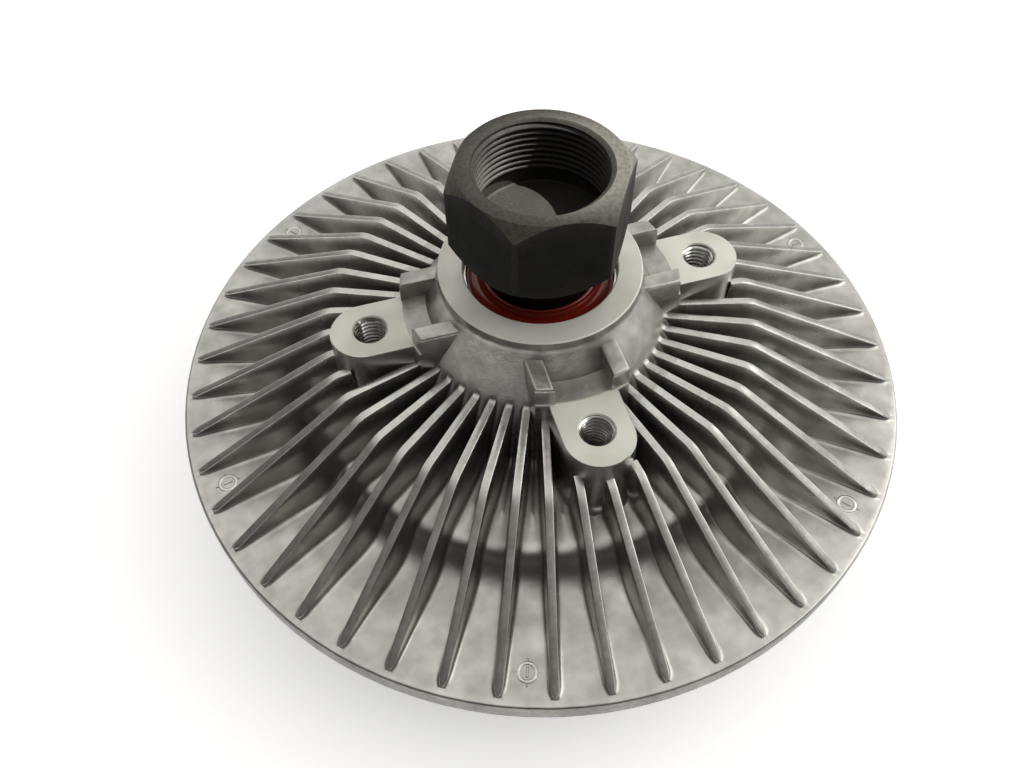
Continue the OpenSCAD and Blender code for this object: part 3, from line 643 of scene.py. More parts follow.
@dataclass
class FinRing:
    """Evenly spaced radial fins that stand on a revolved skin."""

    count: int
    first_deg: float
    way: int
    crest: list[Pair]
    half_w: float
    draft_deg: float
    nose: float
    # Painted light on the crest's middle by radius: a painted highlight above zero, painted shade below zero.
    crest_light_and_wear: Pair
    crest_light_and_wear_r: Pair = (0.0, 1.0)
    root_nose: float = 0.0
    # Painted shade on the lower flanks and gap floors, fading out between these radii.
    gap_shade_r: Pair = (0.0, 1.0)
    starts: dict[int, float] = field(default_factory=dict)
    repeat: int = 1
    bevel: float = 0.3
    fillet: float = 0.9
    foot_w: float = 1.3
    dish: float = 0.25
    end_h: float = 0.7
    # Painted shade in the gaps is full where the fins stand this tall; then its strength on the feet and on the
    # lower flanks.
    gap_shade_h: float = 6.0
    foot_shade: float = 0.85
    side_shade: float = 0.5
    nose_least: float = 0.12
    nose_power: float = 2.4
    gap_least: float = 0.2
    gap_share: float = 0.75
    fillet_share: float = 0.45
    bevel_share: float = 0.4
    bevel_least: float = 0.12
    bevel_bend: float = 0.3
    crest_share: float = 0.6
    foot_share: float = 0.8
    foot_least: float = 0.3
    dish_share: float = 0.06
    edge_share: float = 0.96
    outward: Point = (0.02, 0.03, 0.04)
    shown_h: float = 0.5
    # Painted highlight with rub on the crest's edges, scaled from the crest's painted light.
    edge_highlight_scale: Pairs = ((-0.4, 0.2), (0.6, 1.0))
    side_highlight: float = 0.4
    foot_angles: tuple[float, ...] = (0.0, math.pi / 6, math.pi / 3, math.pi / 2)

    def crest_at(self, radius: float) -> Optional[float]:
        """Height of the fins' edge at a radius.

        Args:
            radius: Where the height is taken.

        Returns:
            The height, or nothing beyond the fins' ends.
        """
        if not self.crest[0][0] <= radius <= self.crest[-1][0]:
            return None
        return float(np.interp(radius, *zip(*self.crest)))

    def nose_at(self, radius: float) -> float:
        """Share of the fins' width that their rounded ends have at a radius.

        Args:
            radius: Where the share is taken.

        Returns:
            The share, 1 away from the ends.
        """
        t = (radius - self.crest[-1][0]) / self.nose + 1.0
        if self.root_nose:
            t = max(t, (self.crest[0][0] - radius) / self.root_nose + 1.0)
        return 1.0 if t <= 0.0 else max(self.nose_least, math.sqrt(max(0.0, 1.0 - t ** self.nose_power)))

    def half_section(self, radius: float, base: float, start: float) -> np.ndarray:
        """Half section across one fin.

        Args:
            radius: Where the section is cut.
            base: Height of the skin there.
            start: Radius at which this fin starts, or infinity on bare skin.

        Returns:
            Offset from the fin's middle, height and painted light with wear, from the middle to the gap's
            middle.
        """
        # The shares below keep the section's points in order where a fin is low or narrow.
        edge = radius * math.sin(math.pi / self.count)
        draft = math.tan(math.radians(self.draft_deg))
        crest = self.crest_at(radius)
        full = 0.0 if crest is None or math.isinf(start) else max(0.0, self.way * (crest - base))
        rise = 0.0 if radius < start else full
        nose = self.nose_at(radius)
        top = self.half_w * nose
        gap = max(edge - top - draft * rise, self.gap_least)
        fillet = min(self.fillet, self.fillet_share * rise, self.gap_share * gap)
        low = top + draft * (rise - fillet) * nose
        bevel = min(self.bevel, self.bevel_share * rise)
        wide_bevel = min(max(bevel, self.bevel_least), self.crest_share * top)
        wide_fillet = max(min(self.foot_w, self.foot_share * (edge - low)), self.foot_least)
        side = rise - bevel
        shown = min(rise / self.shown_h, 1.0)
        # The crest's middle takes painted light by radius, its edges a painted highlight with rub, and the
        # lower flanks and gap floors painted shade where tall fins stand close near the hub.
        painted_light_and_rub = float(np.interp(radius, self.crest_light_and_wear_r, self.crest_light_and_wear)) * shown
        edge_highlight_and_rub = shown * float(np.interp(painted_light_and_rub, *self.edge_highlight_scale))
        gap_shade = float(np.interp(radius, self.gap_shade_r, (1.0, 0.0))) * min(full / self.gap_shade_h, 1.0)
        foot_painted_shade = -self.foot_shade * gap_shade
        dish = min(self.dish, self.dish_share * max(rise - self.end_h, 0.0))
        side_out, middle_out, foot_out = self.outward
        foot = [(low + foot_out + wide_fillet * (1.0 - math.cos(a)), fillet - (fillet - dish) * math.sin(a),
                 foot_painted_shade) for a in self.foot_angles]
        section = np.array([(0.0, rise, painted_light_and_rub), (top - wide_bevel, rise, painted_light_and_rub),
                            (top - self.bevel_bend * wide_bevel, rise - self.bevel_bend * bevel, edge_highlight_and_rub),
                            (top + side_out, side, self.side_highlight * edge_highlight_and_rub),
                            ((top + low) / 2 + middle_out, (side + fillet) / 2, -self.side_shade * gap_shade),
                            *foot, (edge, 0.0, foot_painted_shade)])
        limit = self.edge_share * edge
        if section[-2, 0] > limit:
            section[:-1, 0] *= limit / section[-2, 0]
        section[:, 1] = base + self.way * section[:, 1]
        return section

    def row(self, radius: float, base: float, bare: bool) -> tuple[np.ndarray, np.ndarray]:
        """One full turn of the skin and its fins at a radius.

        Args:
            radius: Radius of the row.
            base: Height of the skin there.
            bare: Whether the skin has no fins here.

        Returns:
            Places and painted light with wear of the row's vertices.
        """
        kinds: dict[float, np.ndarray] = {}
        places, painted_light_and_wear = [], []
        for i in range(self.count):
            start = math.inf if bare else self.starts.get(i % self.repeat, 0.0)
            if start not in kinds:
                half = self.half_section(radius, base, start)
                kinds[start] = np.concatenate([half[:0:-1] * (-1.0, 1.0, 1.0), half[:-1]])
            offset, height, painted_light_and_rub = kinds[start].T
            middle = math.radians(self.first_deg) + i * TURN / self.count
            places.append(ring_at(radius, height, np.arcsin(np.clip(offset / radius, -1.0, 1.0)) + middle))
            painted_light_and_wear.append(painted_light_and_rub)
        return np.concatenate(places), np.concatenate(painted_light_and_wear)

    def skin(self, shell: Shell, section: Sequence[Pair], marks: Sequence[int], painted_light_and_rub: Sequence[float],
             finned: range) -> None:
        """Adds the closed skin with its fins to a shell.

        Args:
            shell: Where the net goes.
            section: Closed half section, radius and height.
            marks: Finish index of each strip.
            painted_light_and_rub: Painted light and wear of each point of the section.
            finned: Which points of the section carry fins.
        """
        rows = [self.row(r, z, i not in finned) for i, (r, z) in enumerate(section)]
        painted_light_and_wear = np.stack([w + e for (_, w), e in zip(rows, painted_light_and_rub)])
        shell.grid(np.stack([p for p, _ in rows]), marks, True, True, painted_light_and_wear)


@dataclass
class InnerThread:
    """Inside thread of a round hole, as a helical net between two plain rings."""

    wall_r: float
    crest_r: float
    pitch: float
    low: float
    high: float
    columns: int
    centre: Pair = (0.0, 0.0)
    turn: float = 0.0
    # Painted shade towards the hole's bottom by default, fading out over these rise shares.
    painted_light_and_wear: Pair = (-1.0, 0.0)
    painted_light_rise: Pair = (1 / 6, 5 / 6)
    run_out: float = 0.7
    form: Pairs = ((0.0, 0.0), (0.125, 0.0), (0.40, 0.92), (0.47, 1.0), (0.66, 1.0), (0.73, 0.92))

    def ring(self, radius: object, height: object) -> np.ndarray:
        """A ring with the thread's columns."""
        return ring_at(radius, height, self.turn + np.arange(self.columns) * TURN / self.columns, self.centre)

    def net(self, shell: Shell, mark: int) -> None:
        """Adds the thread to a shell.

        Args:
            shell: Where the net goes.
            mark: Finish index.
        """
        points = len(self.form)
        turns = math.ceil((self.high - self.low) / self.pitch) + 2
        lead = np.arange(self.columns) / self.columns
        rows = []
        for i in range(turns * points):
            at, depth = self.form[i % points]
            z = self.low + self.pitch * (i // points + at - 1.0 + lead)
            fade = np.clip(np.minimum(z - self.low, self.high - z) / self.run_out, 0.0, 1.0)
            r = self.wall_r - (self.wall_r - self.crest_r) * depth * fade
            rows.append(self.ring(r, np.clip(z, self.low, self.high)))
        net = np.stack(rows)
        rise = (net[:, :, 2] - self.low) / (self.high - self.low)
        first = shell.grid(net, mark, False, False, np.interp(rise, self.painted_light_rise, self.painted_light_and_wear))
        for i in range(len(rows) - 1 - points):
            last = first + (i + 1) * self.columns - 1
            ahead = first + (i + points) * self.columns
            shell.face((last, ahead, ahead + self.columns, last + self.columns), mark)


@dataclass
class HousingCasting:
    """Finned housing: turned ring, hub cone, raised base, flange, rim and fins."""

    rim_r: float = 92.0
    flange_z: float = 27.0
    base_z: float = 33.5
    ring_r: float = 24.0
    ring_bore: float = 18.1
    ring_z: float = 60.8
    ring_edge: float = 0.3
    ring_side: float = 1.2
    neck_z: float = 58.0
    bearing_z: float = 58.4
    bearing_r: float = 21.0
    foot_r: float = 37.6
    foot_round: float = 4.0
    shoulder_r: float = 60.0
    slope_r: float = 66.0
    shoulder_round: float = 5.0
    slope_round: float = 12.0
    slope_steps: int = 8
    rim_round: float = 0.8
    lip_z: float = 21.18
    lip_r: float = 87.6
    lip_t: float = 1.0
    lip_steps: int = 4
    seat_r: float = 90.0
    part_z: float = 24.2
    recess_r: float = 59.5
    ceiling_z: float = 29.2
    cavity_z: float = 42.61
    cavity_r: Pair = (35.7, 26.2)
    fin_count: int = 48
    fin_z: float = 46.0
    fin_knee: float = 52.5
    fin_tip: float = 90.0
    fin_nose: float = 2.5
    fin_half_w: float = 0.95
    fin_draft: float = 2.1
    fin_end_h: float = 0.7
    fin_rounds: Pair = (1.8, 6.0)
    boss_starts: Pair = (48.0, 47.5)
    # Painted highlight on the level crests near the hub, painted dark reflection on the sloped crests.
    crest_light_and_wear: Pair = (0.3, -0.45)
    knee_run: Pair = (-2.0, 4.0)
    # Painted shade on the ring's bore wall.
    bore_shade: float = -0.8
    # Painted light down the rim's round: a slight painted highlight at its top, painted shade towards its lower
    # edge and under the lip.
    rim_light_and_shade: tuple[float, ...] = (0.2, 0.0, -0.3, -0.5, -0.6)
    row_steps: tuple[float, ...] = (1.0, 0.85, 1.6, 0.8, 2.0)
    tip_steps: tuple[float, ...] = (0.2, 0.4, 0.55, 0.68, 0.79, 0.88, 0.95, 0.99, 1.0, 1.03)

    def cone_r(self, z: float) -> float:
        """Radius of the hub cone at a height."""
        return self.ring_r + (self.neck_z - z) * (self.foot_r - self.ring_r) / (self.neck_z - self.base_z)

    def fins(self) -> FinRing:
        """The ring of fins, with a painted highlight on the crests where they are level and a painted dark
        reflection on the slope.

        Returns:
            The fins, those at the bosses cut short.
        """
        neck, knee = (self.ring_r, self.neck_z), (self.fin_knee, self.fin_z)
        inner, tip = (self.cone_r(self.fin_z), self.fin_z), (self.fin_tip, self.flange_z + self.fin_end_h)
        root_round, knee_round = self.fin_rounds
        crest = [*rounded(neck, inner, knee, root_round), *rounded(inner, knee, tip, knee_round), tip]
        middle, beside = self.boss_starts
        every = self.fin_count // BOSSES
        return FinRing(self.fin_count, 0.0, 1, crest, self.fin_half_w, self.fin_draft, self.fin_nose,
                       self.crest_light_and_wear, tuple(self.fin_knee + d for d in self.knee_run),
                       # Painted shade between the fins fades out from the cone's foot to the knee.
                       gap_shade_r=(self.foot_r, self.fin_knee),
                       starts={0: middle, 1: beside, every - 1: beside}, repeat=every)

    def section(self) -> tuple[list[Pair], list[int], list[float], range]:
        """Closed half section of the housing.

        Returns:
            Its points, the finish index of each strip, the painted light and wear of each point and which
            points carry fins.
        """
        e = self.ring_edge
        wall_step, cone_step, base_step, fall_step, flange_step = self.row_steps
        neck, foot = (self.ring_r, self.neck_z), (self.foot_r, self.base_z)
        shoulder, slope = (self.shoulder_r, self.base_z), (self.slope_r, self.flange_z)
        rim, lip = (self.rim_r, self.flange_z), (self.rim_r, self.lip_z)
        ring = [(self.ring_bore, self.bearing_z), (self.ring_bore, self.ring_z - e),
                (self.ring_bore + e, self.ring_z), (self.ring_r - e, self.ring_z),
                (self.ring_r, self.ring_z - e)]
        wall = dense([(self.ring_r, self.ring_z - self.ring_side), neck], wall_step)
        foot_arc = rounded(neck, foot, shoulder, self.foot_round)
        cone = dense([neck, foot_arc[0]], cone_step)[1:-1]
        shoulder_arc = rounded(foot, shoulder, slope, self.shoulder_round)
        slope_arc = rounded(shoulder, slope, rim, self.slope_round, self.slope_steps)
        rim_arc = rounded(slope, rim, lip, self.rim_round, len(self.rim_light_and_shade) - 1)
        plateau = dense([foot_arc[-1], shoulder_arc[0]], base_step)[1:-1]
        fall = dense([shoulder_arc[-1], slope_arc[0]], fall_step)[1:-1]
        nose_r = self.fin_tip - self.fin_nose
        flange = dense([slope_arc[-1], (nose_r, self.flange_z)], flange_step)[1:]
        tips = [(nose_r + self.fin_nose * t, self.flange_z) for t in self.tip_steps]
        skin = [*cone, *foot_arc, *plateau, *shoulder_arc, *fall, *slope_arc, *flange, *tips]
        lip_arc = rounded(rim, lip, (self.lip_r, self.lip_z), self.lip_t / 2, self.lip_steps)
        under = [(self.lip_r, self.lip_z), (self.lip_r, self.lip_z + self.lip_t),
                 (self.seat_r, self.lip_z + self.lip_t), (self.seat_r, self.part_z),
                 (self.recess_r, self.part_z), (self.recess_r, self.ceiling_z),
                 (self.cavity_r[0], self.ceiling_z), (self.cavity_r[1], self.cavity_z),
                 (self.bearing_r, self.cavity_z), (self.bearing_r, self.bearing_z)]
        points = [*ring, *wall, *skin, *rim_arc, *lip_arc, *under]
        start = len(ring) + len(wall)
        rough = start + len(cone)
        marks = [1] * len(ring) + [2] * (rough - len(ring)) + [0] * (len(points) - rough)
        # The bore wall takes the darker hub skin in place of the turned face, plus painted shade; the ring's
        # outer side takes the hub skin too.
        marks[len(ring) - 1] = marks[0] = 2
        # Painted shade on the bore, painted light down the rim's round and painted shade under the lip.
        painted_light_and_rub = [self.bore_shade] * 2 + [0.0] * (start - 2 + len(skin)) + [*self.rim_light_and_shade]
        painted_light_and_rub += [self.rim_light_and_shade[-1]] * len(lip_arc) + [0.0] * len(under)
        return points, marks, painted_light_and_rub, range(start, start + len(skin))

    def build(self) -> None:
        """Builds the casting in place of its solid."""
        shell = Shell()
        self.fins().skin(shell, *self.section())
        shell.build("housing_casting", (CAST, TURNED, CAST_ROUGH), Body.HOUSING, Slot.CAST, ["rear_housing"])


@dataclass
class FanBoss:
    """One threaded fan boss with its block, slot floor and two ears."""

    number: int
    casting: HousingCasting
    face_z: float = 51.2
    bolt_r: float = 41.7
    half_w: float = 8.15
    block_w: float = 11.0
    end_r: float = 51.2
    ledge_r: float = 34.1
    pilot_r: float = 33.4
    slot_w: float = 6.6
    slot_z: float = 51.5
    slot_lap: float = 0.3
    slot_edge: float = 0.1
    ear_z: float = 56.3
    ear_low: float = 50.6
    ear_foot: float = 0.12
    ear_crown: Pairs = ((-0.8, 0.0), (-0.42, -0.09), (-0.18, -0.26), (-0.04, -0.5), (0.0, -0.8))
    flare: Pairs = ((32.8, 3.0), (33.6, 2.2), (34.4, 1.35), (35.6, 0.8), (37.2, 0.5), (44.0, 0.25),
                    (50.95, 0.0), (51.2, -0.22))
    hole_r: float = 4.0
    hole_z: float = 36.2
    hole_edge: float = 0.3
    thread_h: float = 0.62
    thread_pitch: float = 1.25
    thread_columns: int = 48
    drill_r: float = 0.4
    drill_h: float = 2.0
    sink: float = 2.0
    ledge_steps: int = 3
    end_steps: int = 24
    inner_steps: int = 8
    bar_steps: int = 4
    shell: Shell = field(default_factory=Shell)

    def inner_r(self, z: float) -> float:
        """Radius of the boss's hidden inner end at a height."""
        return self.casting.cone_r(z) - self.sink

    def across(self, radius: float, offset: float) -> Pair:
        """Point of a circle around the shaft axis at an offset from the boss's middle."""
        return math.sqrt(radius * radius - offset * offset), offset

    def run(self, radius: float, first: float, last: float, steps: int) -> list[Pair]:
        """Points of a circle around the shaft axis between two offsets."""
        return [self.across(radius, v) for v in np.linspace(first, last, steps + 1)]

    def plan(self, z: float, grow: float) -> np.ndarray:
        """Outline of the tab and the block at a height.

        Args:
            z: Height of the outline.
            grow: How far it stands outside the face's outline.

        Returns:
            Places of its vertices.
        """
        w, b, ledge = self.half_w + grow, self.block_w + grow, self.ledge_r + grow
        centre = (self.end_r - self.half_w, 0.0)
        inner = self.inner_r(z)
        points = [self.across(inner, -b), *self.run(ledge, -b, -w, self.ledge_steps),
                  *arc(centre, w, -math.pi / 2, math.pi / 2, self.end_steps),
                  *self.run(ledge, w, b, self.ledge_steps), *self.run(inner, b, -b, self.inner_steps)[:-1]]
        return np.array([(u, v, z) for u, v in points])

    def bar(self, z: float, grow: float, low: float, high: float) -> np.ndarray:
        """Outline of an ear or of the slot floor at a height.

        Args:
            z: Height of the outline.
            grow: How far it stands outside its plain outline.
            low: Offset of its first side.
            high: Offset of its second side.

        Returns:
            Places of its vertices.
        """
        inner = self.inner_r(min(z, self.casting.neck_z))
        points = [*self.run(self.pilot_r + grow, low - grow, high + grow, self.bar_steps),
                  *self.run(inner, high + grow, low - grow, self.bar_steps)]
        return np.array([(u, v, z) for u, v in points])

    def stack(self, rows: Sequence[np.ndarray], top: int, side: int, holes: Sequence[range] = ()) -> None:
        """Adds a block from outlines that lie over each other.

        Args:
            rows: Outlines from the lowest to the highest.
            top: Finish index of the top face.
            side: Finish index of the sides.
            holes: Vertex indices of each hole in the top face.
        """
        m = len(rows[0])
        first = self.shell.grid(np.stack(rows), side)
        last = first + (len(rows) - 1) * m
        self.shell.flat_face([range(first, first + m)], side)
        self.shell.flat_face([range(last, last + m), *holes], top)

    def tab(self) -> None:
        """Adds the tab and the block with the threaded hole."""
        n, mouth_z = self.thread_columns, self.face_z - self.hole_edge
        thread = InnerThread(self.hole_r, self.hole_r - self.thread_h, self.thread_pitch, self.hole_z,
                             mouth_z, n, (self.bolt_r, 0.0))
        edge = thread.ring(self.hole_r + self.hole_edge, self.face_z)
        mouth = self.shell.grid(np.stack([edge, thread.ring(self.hole_r, mouth_z)]), 1)
        self.stack([self.plan(z, grow) for z, grow in self.flare], 1, 0, [range(mouth, mouth + n)])
        thread.net(self.shell, 2)
        tip = thread.ring(self.drill_r, self.hole_z - self.drill_h)
        # The drill point takes the thread's deepest painted shade.
        self.shell.cup([thread.ring(self.hole_r, self.hole_z), tip], painted_light_and_wear=thread.painted_light_and_wear[0])

    def ears(self) -> None:
        """Adds the slot floor and the two ears."""
        side = self.slot_w + self.slot_lap
        levels = ((self.ear_low, 0.0), (self.slot_z - self.slot_edge, 0.0), (self.slot_z, -self.slot_edge))
        self.stack([self.bar(z, grow, -side, side) for z, grow in levels], 3, 1)
        crown = [(self.ear_low, self.ear_foot), *shifted((self.ear_z, 0.0), self.ear_crown)]
        for first, last in ((-self.block_w, -self.slot_w), (self.slot_w, self.block_w)):
            self.stack([self.bar(z, grow, first, last) for z, grow in crown], 3, 3)

    def build(self) -> None:
        """Builds the boss and turns it to its place."""
        self.tab()
        self.ears()
        place = Matrix.Rotation(self.number * TURN / BOSSES, 4, "Z")
        self.shell.build(f"fan_boss_{self.number + 1}", (CAST, TURNED, THREAD_BRIGHT, CAST_ROUGH), Body.HOUSING,
                         Slot.CAST, place=place)


@dataclass
class DriveSocket:
    """Hex socket with its inside thread, neck and shaft."""

    flats: float = 36.5
    low_z: float = 69.0
    top_z: float = 90.0
    face_r: float = 18.2
    chamfer_deg: float = 48.0
    turn_deg: float = 57.5
    corner_round: float = 0.35
    wall_r: float = 15.0
    crest_r: float = 14.2
    pitch: float = 1.5
    mouth: float = 0.4
    relief_r: float = 15.25
    relief_z: float = 76.5
    relief_run: float = 0.2
    floor_z: float = 72.5
    floor_edge: float = 0.4
    lathe_r: tuple[float, float, float] = (14.2, 0.5, -0.55)
    lathe_h: float = 0.035
    neck_r: float = 12.5
    neck_z: float = 58.4
    neck_edge: float = 0.3
    neck_round: float = 1.0
    neck_steps: int = 4
    journal_r: float = 9.98
    journal_z: float = 46.7
    spigot_r: float = 8.5
    end_z: float = 20.9
    side_steps: int = 20
    corner_steps: int = 4
    flat_steps: int = 4
    # Paler corners, painted light on the chamfers, painted light on the top face and mouth edge, and a slight
    # even brightening of the thread.
    corner_bright: float = 0.7
    corner_run: float = 0.4
    chamfer_light: Pair = (0.3, 0.5)
    face_light: float = 0.6
    thread_brighten: float = 0.15
    sharp_deg: float = 34.0

    def outline(self) -> tuple[np.ndarray, np.ndarray]:
        """Hex outline with slightly rounded corners.

        Returns:
            Radius and angle of its points.
        """
        corner, first = self.flats / math.sqrt(3.0), math.radians(self.turn_deg)
        corners = arc((0.0, 0.0), corner, first, first + TURN, 6)[:-1]
        bends = [rounded(before, here, after, self.corner_round, self.corner_steps)
                 for before, here, after in zip([corners[-1], *corners], corners, [*corners[1:], corners[0]])]
        points: list[Sequence[float]] = []
        for bend, ahead in zip(bends, [*bends[1:], bends[0]]):
            points += [*bend, *np.linspace(bend[-1], ahead[0], self.side_steps + 1)[1:-1]]
        x, y = np.array(points).T
        return np.hypot(x, y), np.arctan2(y, x)

    def head(self, shell: Shell, radius: np.ndarray, angle: np.ndarray, thread: InnerThread) -> None:
        """Adds the neck, the chamfered flats, the face and the thread's mouth.

        Args:
            shell: Where they go.
            radius: Radius of the outline's points.
            angle: Angle of the outline's points.
            thread: The socket's thread.
        """
        drop = np.maximum(radius - self.face_r, 0.0) * math.tan(math.radians(self.chamfer_deg))
        height = self.top_z - self.low_z - 2 * drop
        bend = (self.neck_r + self.neck_round, self.low_z - self.neck_round)
        neck = [(self.journal_r, self.neck_z), (self.neck_r - self.neck_edge, self.neck_z),
                (self.neck_r, self.neck_z + self.neck_edge),
                *arc(bend, self.neck_round, math.pi, math.pi / 2, self.neck_steps), (self.face_r, self.low_z)]
        flats = [(radius, self.low_z + drop + height * s) for s in np.linspace(0.0, 1.0, self.flat_steps + 1)]
        rows = [ring_at(r, z, angle) for r, z in (*neck, *flats, (self.face_r, self.top_z))]
        rows += [thread.ring(self.wall_r + self.mouth, self.top_z), thread.ring(self.wall_r, thread.high)]
        low, high = len(neck), len(neck) + self.flat_steps
        marks = [int(i >= high) for i in range(len(rows) - 1)]
        painted_light_and_wear = np.zeros((len(rows), len(radius)))
        # Paler corners on the flats, painted light on the chamfer rows, and painted light on the top face and
        # the mouth's edge.
        painted_light_and_wear[low:high] = self.corner_bright * np.clip(1.0 - (radius.max() - radius) / self.corner_run, 0.0, 1.0)
        painted_light_and_wear[low], painted_light_and_wear[high] = self.chamfer_light
        painted_light_and_wear[high + 1:high + 3] = self.face_light
        shell.grid(np.stack(rows), marks, painted_light_and_wear=painted_light_and_wear)

    def build(self) -> None:
        """Builds the socket and the shaft in place of their solid."""
        shell = Shell()
        radius, angle = self.outline()
        thread = InnerThread(self.wall_r, self.crest_r, self.pitch, self.relief_z + self.relief_run,
                             self.top_z - self.mouth, len(radius), turn=angle[0],
                             painted_light_and_wear=(self.thread_brighten,) * 2)
        self.head(shell, radius, angle, thread)
        thread.net(shell, 1)
        floor = [(self.wall_r, thread.low), (self.relief_r, self.relief_z),
                 (self.relief_r, self.floor_z + self.floor_edge),
                 (self.relief_r - self.floor_edge, self.floor_z)]
        floor += [(r, self.floor_z + self.lathe_h * (i % 2)) for i, r in enumerate(np.arange(*self.lathe_r))]
        shell.cup([thread.ring(r, z) for r, z in floor], 1)
        shaft = ((self.journal_r, self.neck_z), (self.journal_r, self.journal_z),
                 (self.spigot_r, self.journal_z), (self.spigot_r, self.end_z))
        shell.cup([ring_at(r, z, angle) for r, z in shaft])
        shell.build("drive_socket", (PHOSPHATE, PHOSPHATE_FACE), Body.SHAFT, Slot.PHOSPHATE, ["drive_shaft"],
                    self.sharp_deg)


@dataclass
class BearingSeal:
    """Red rubber seal that shows in the housing's ring, with its lip, groove and rim bead."""

    lip_r: float = 12.66
    web_r: float = 13.56
    outer_r: float = 17.57
    low_z: float = 57.1
    top_z: float = 58.0
    lip_z: Pair = (58.56, 59.04)
    lip: Pairs = ((0.0, -0.12), (0.12, 0.0), (0.5, 0.0), (0.75, -0.2), (1.0, -0.22), (1.2, -0.04),
                  (1.45, -0.06), (1.75, -0.35))
    groove: Pairs = ((2.2, -0.1), (2.7, -0.3))
    bead: Pairs = ((-1.37, -0.3), (-1.12, -0.1), (-0.82, 0.0), (-0.32, 0.0), (-0.08, -0.08), (0.0, -0.3))
    steps: int = 144

    def build(self) -> None:
        """Builds the seal in place of its solid."""
        low, high = self.lip_z
        section = [(self.web_r, self.low_z), (self.web_r, low), (self.lip_r, low),
                   *shifted((self.lip_r, high), self.lip), *shifted((self.lip_r, self.top_z), self.groove),
                   *shifted((self.outer_r, self.top_z), self.bead), (self.outer_r, self.low_z)]
        shell = Shell()
        shell.revolve(section, self.steps, [0.0] * len(section))
        shell.build("red_seal", (SEAL_RED,), Body.HOUSING, Slot.SEAL_RED, ["bearing_rear_seal"])


@dataclass
class CoverCasting:
    """Front cover: dish with radial fins, bush boss and rim flange."""

    rim_r: float = 89.98
    dish_out: float = 86.18
    dish_in: float = 82.88
    reservoir_r: float = 71.98
    floor_z: float = 10.8
    inside_z: float = 14.0
    shelf_z: float = 18.0
    under_z: float = 22.2
    part_z: float = 24.2
    corner: float = 3.2
    bush_r: float = 5.05
    bush_wall: float = 3.0
    bush_z: float = 8.8
    bush_edge: float = 0.4
    bush_foot: float = 0.8
    fin_count: int = 30
    fin_in: float = 27.0
    fin_knee: float = 62.0
    fin_tip: float = 84.4
    fin_end_h: float = 0.3
    fin_round: float = 8.0
    fin_half_w: float = 0.95
    fin_draft: float = 2.1
    fin_nose: float = 3.0
    fin_root: Pairs = ((0.0, 1.2), (0.25, 0.5), (0.7, 0.1), (1.2, 0.0))
    crest_light_and_wear: float = 0.1
    root_steps: tuple[float, ...] = (-0.3, 0.0, 0.05, 0.25, 0.5, 0.8, 1.2)
    floor_step: float = 2.2
    tip_steps: Pair = (0.3, 0.52)
    row_gap: float = 0.05

    def build(self) -> None:
        """Builds the cover in place of its solid."""
        inner, knee = (self.fin_in, 0.0), (self.fin_knee, 0.0)
        tip, nose_r = (self.fin_tip, self.floor_z - self.fin_end_h), self.fin_tip - self.fin_nose
        crest = [*shifted(inner, self.fin_root), *rounded(inner, knee, tip, self.fin_round), tip]
        fins = FinRing(self.fin_count, 180.0 / self.fin_count, -1, crest, self.fin_half_w, self.fin_draft,
                       self.fin_nose, (self.crest_light_and_wear,) * 2, root_nose=self.fin_root[-1][0])
        boss_r = self.bush_r + self.bush_wall
        boss = [(self.bush_r, self.bush_z), (boss_r - self.bush_edge, self.bush_z),
                (boss_r, self.bush_z + self.bush_edge), (boss_r, self.floor_z - self.bush_foot),
                (boss_r + self.bush_foot, self.floor_z)]
        floor = [(self.fin_in + d, self.floor_z) for d in self.root_steps]
        floor += dense([floor[-1], (nose_r, self.floor_z)], self.floor_step)[1:]
        floor += [(nose_r + self.fin_nose * t, self.floor_z) for t in self.tip_steps]
        last_r = floor[-1][0] + self.row_gap
        corner = rounded((0.0, self.floor_z), (self.dish_out, self.floor_z), (self.dish_out, self.under_z),
                         self.corner)
        floor += [p for p in corner if p[0] > last_r]
        inside = [(self.dish_out, self.under_z), (self.rim_r, self.under_z), (self.rim_r, self.part_z),
                  (self.dish_in, self.part_z), (self.dish_in, self.shelf_z), (self.reservoir_r, self.shelf_z),
                  (self.reservoir_r, self.inside_z), (self.bush_r, self.inside_z)]
        section = [*boss, *floor, *inside]
        shell = Shell()
        fins.skin(shell, section, [0] * len(section), [0.0] * len(section),
                  range(len(boss), len(boss) + len(floor)))
        shell.build("cover_casting", (CAST,), Body.HOUSING, Slot.CAST, ["front_cover"])


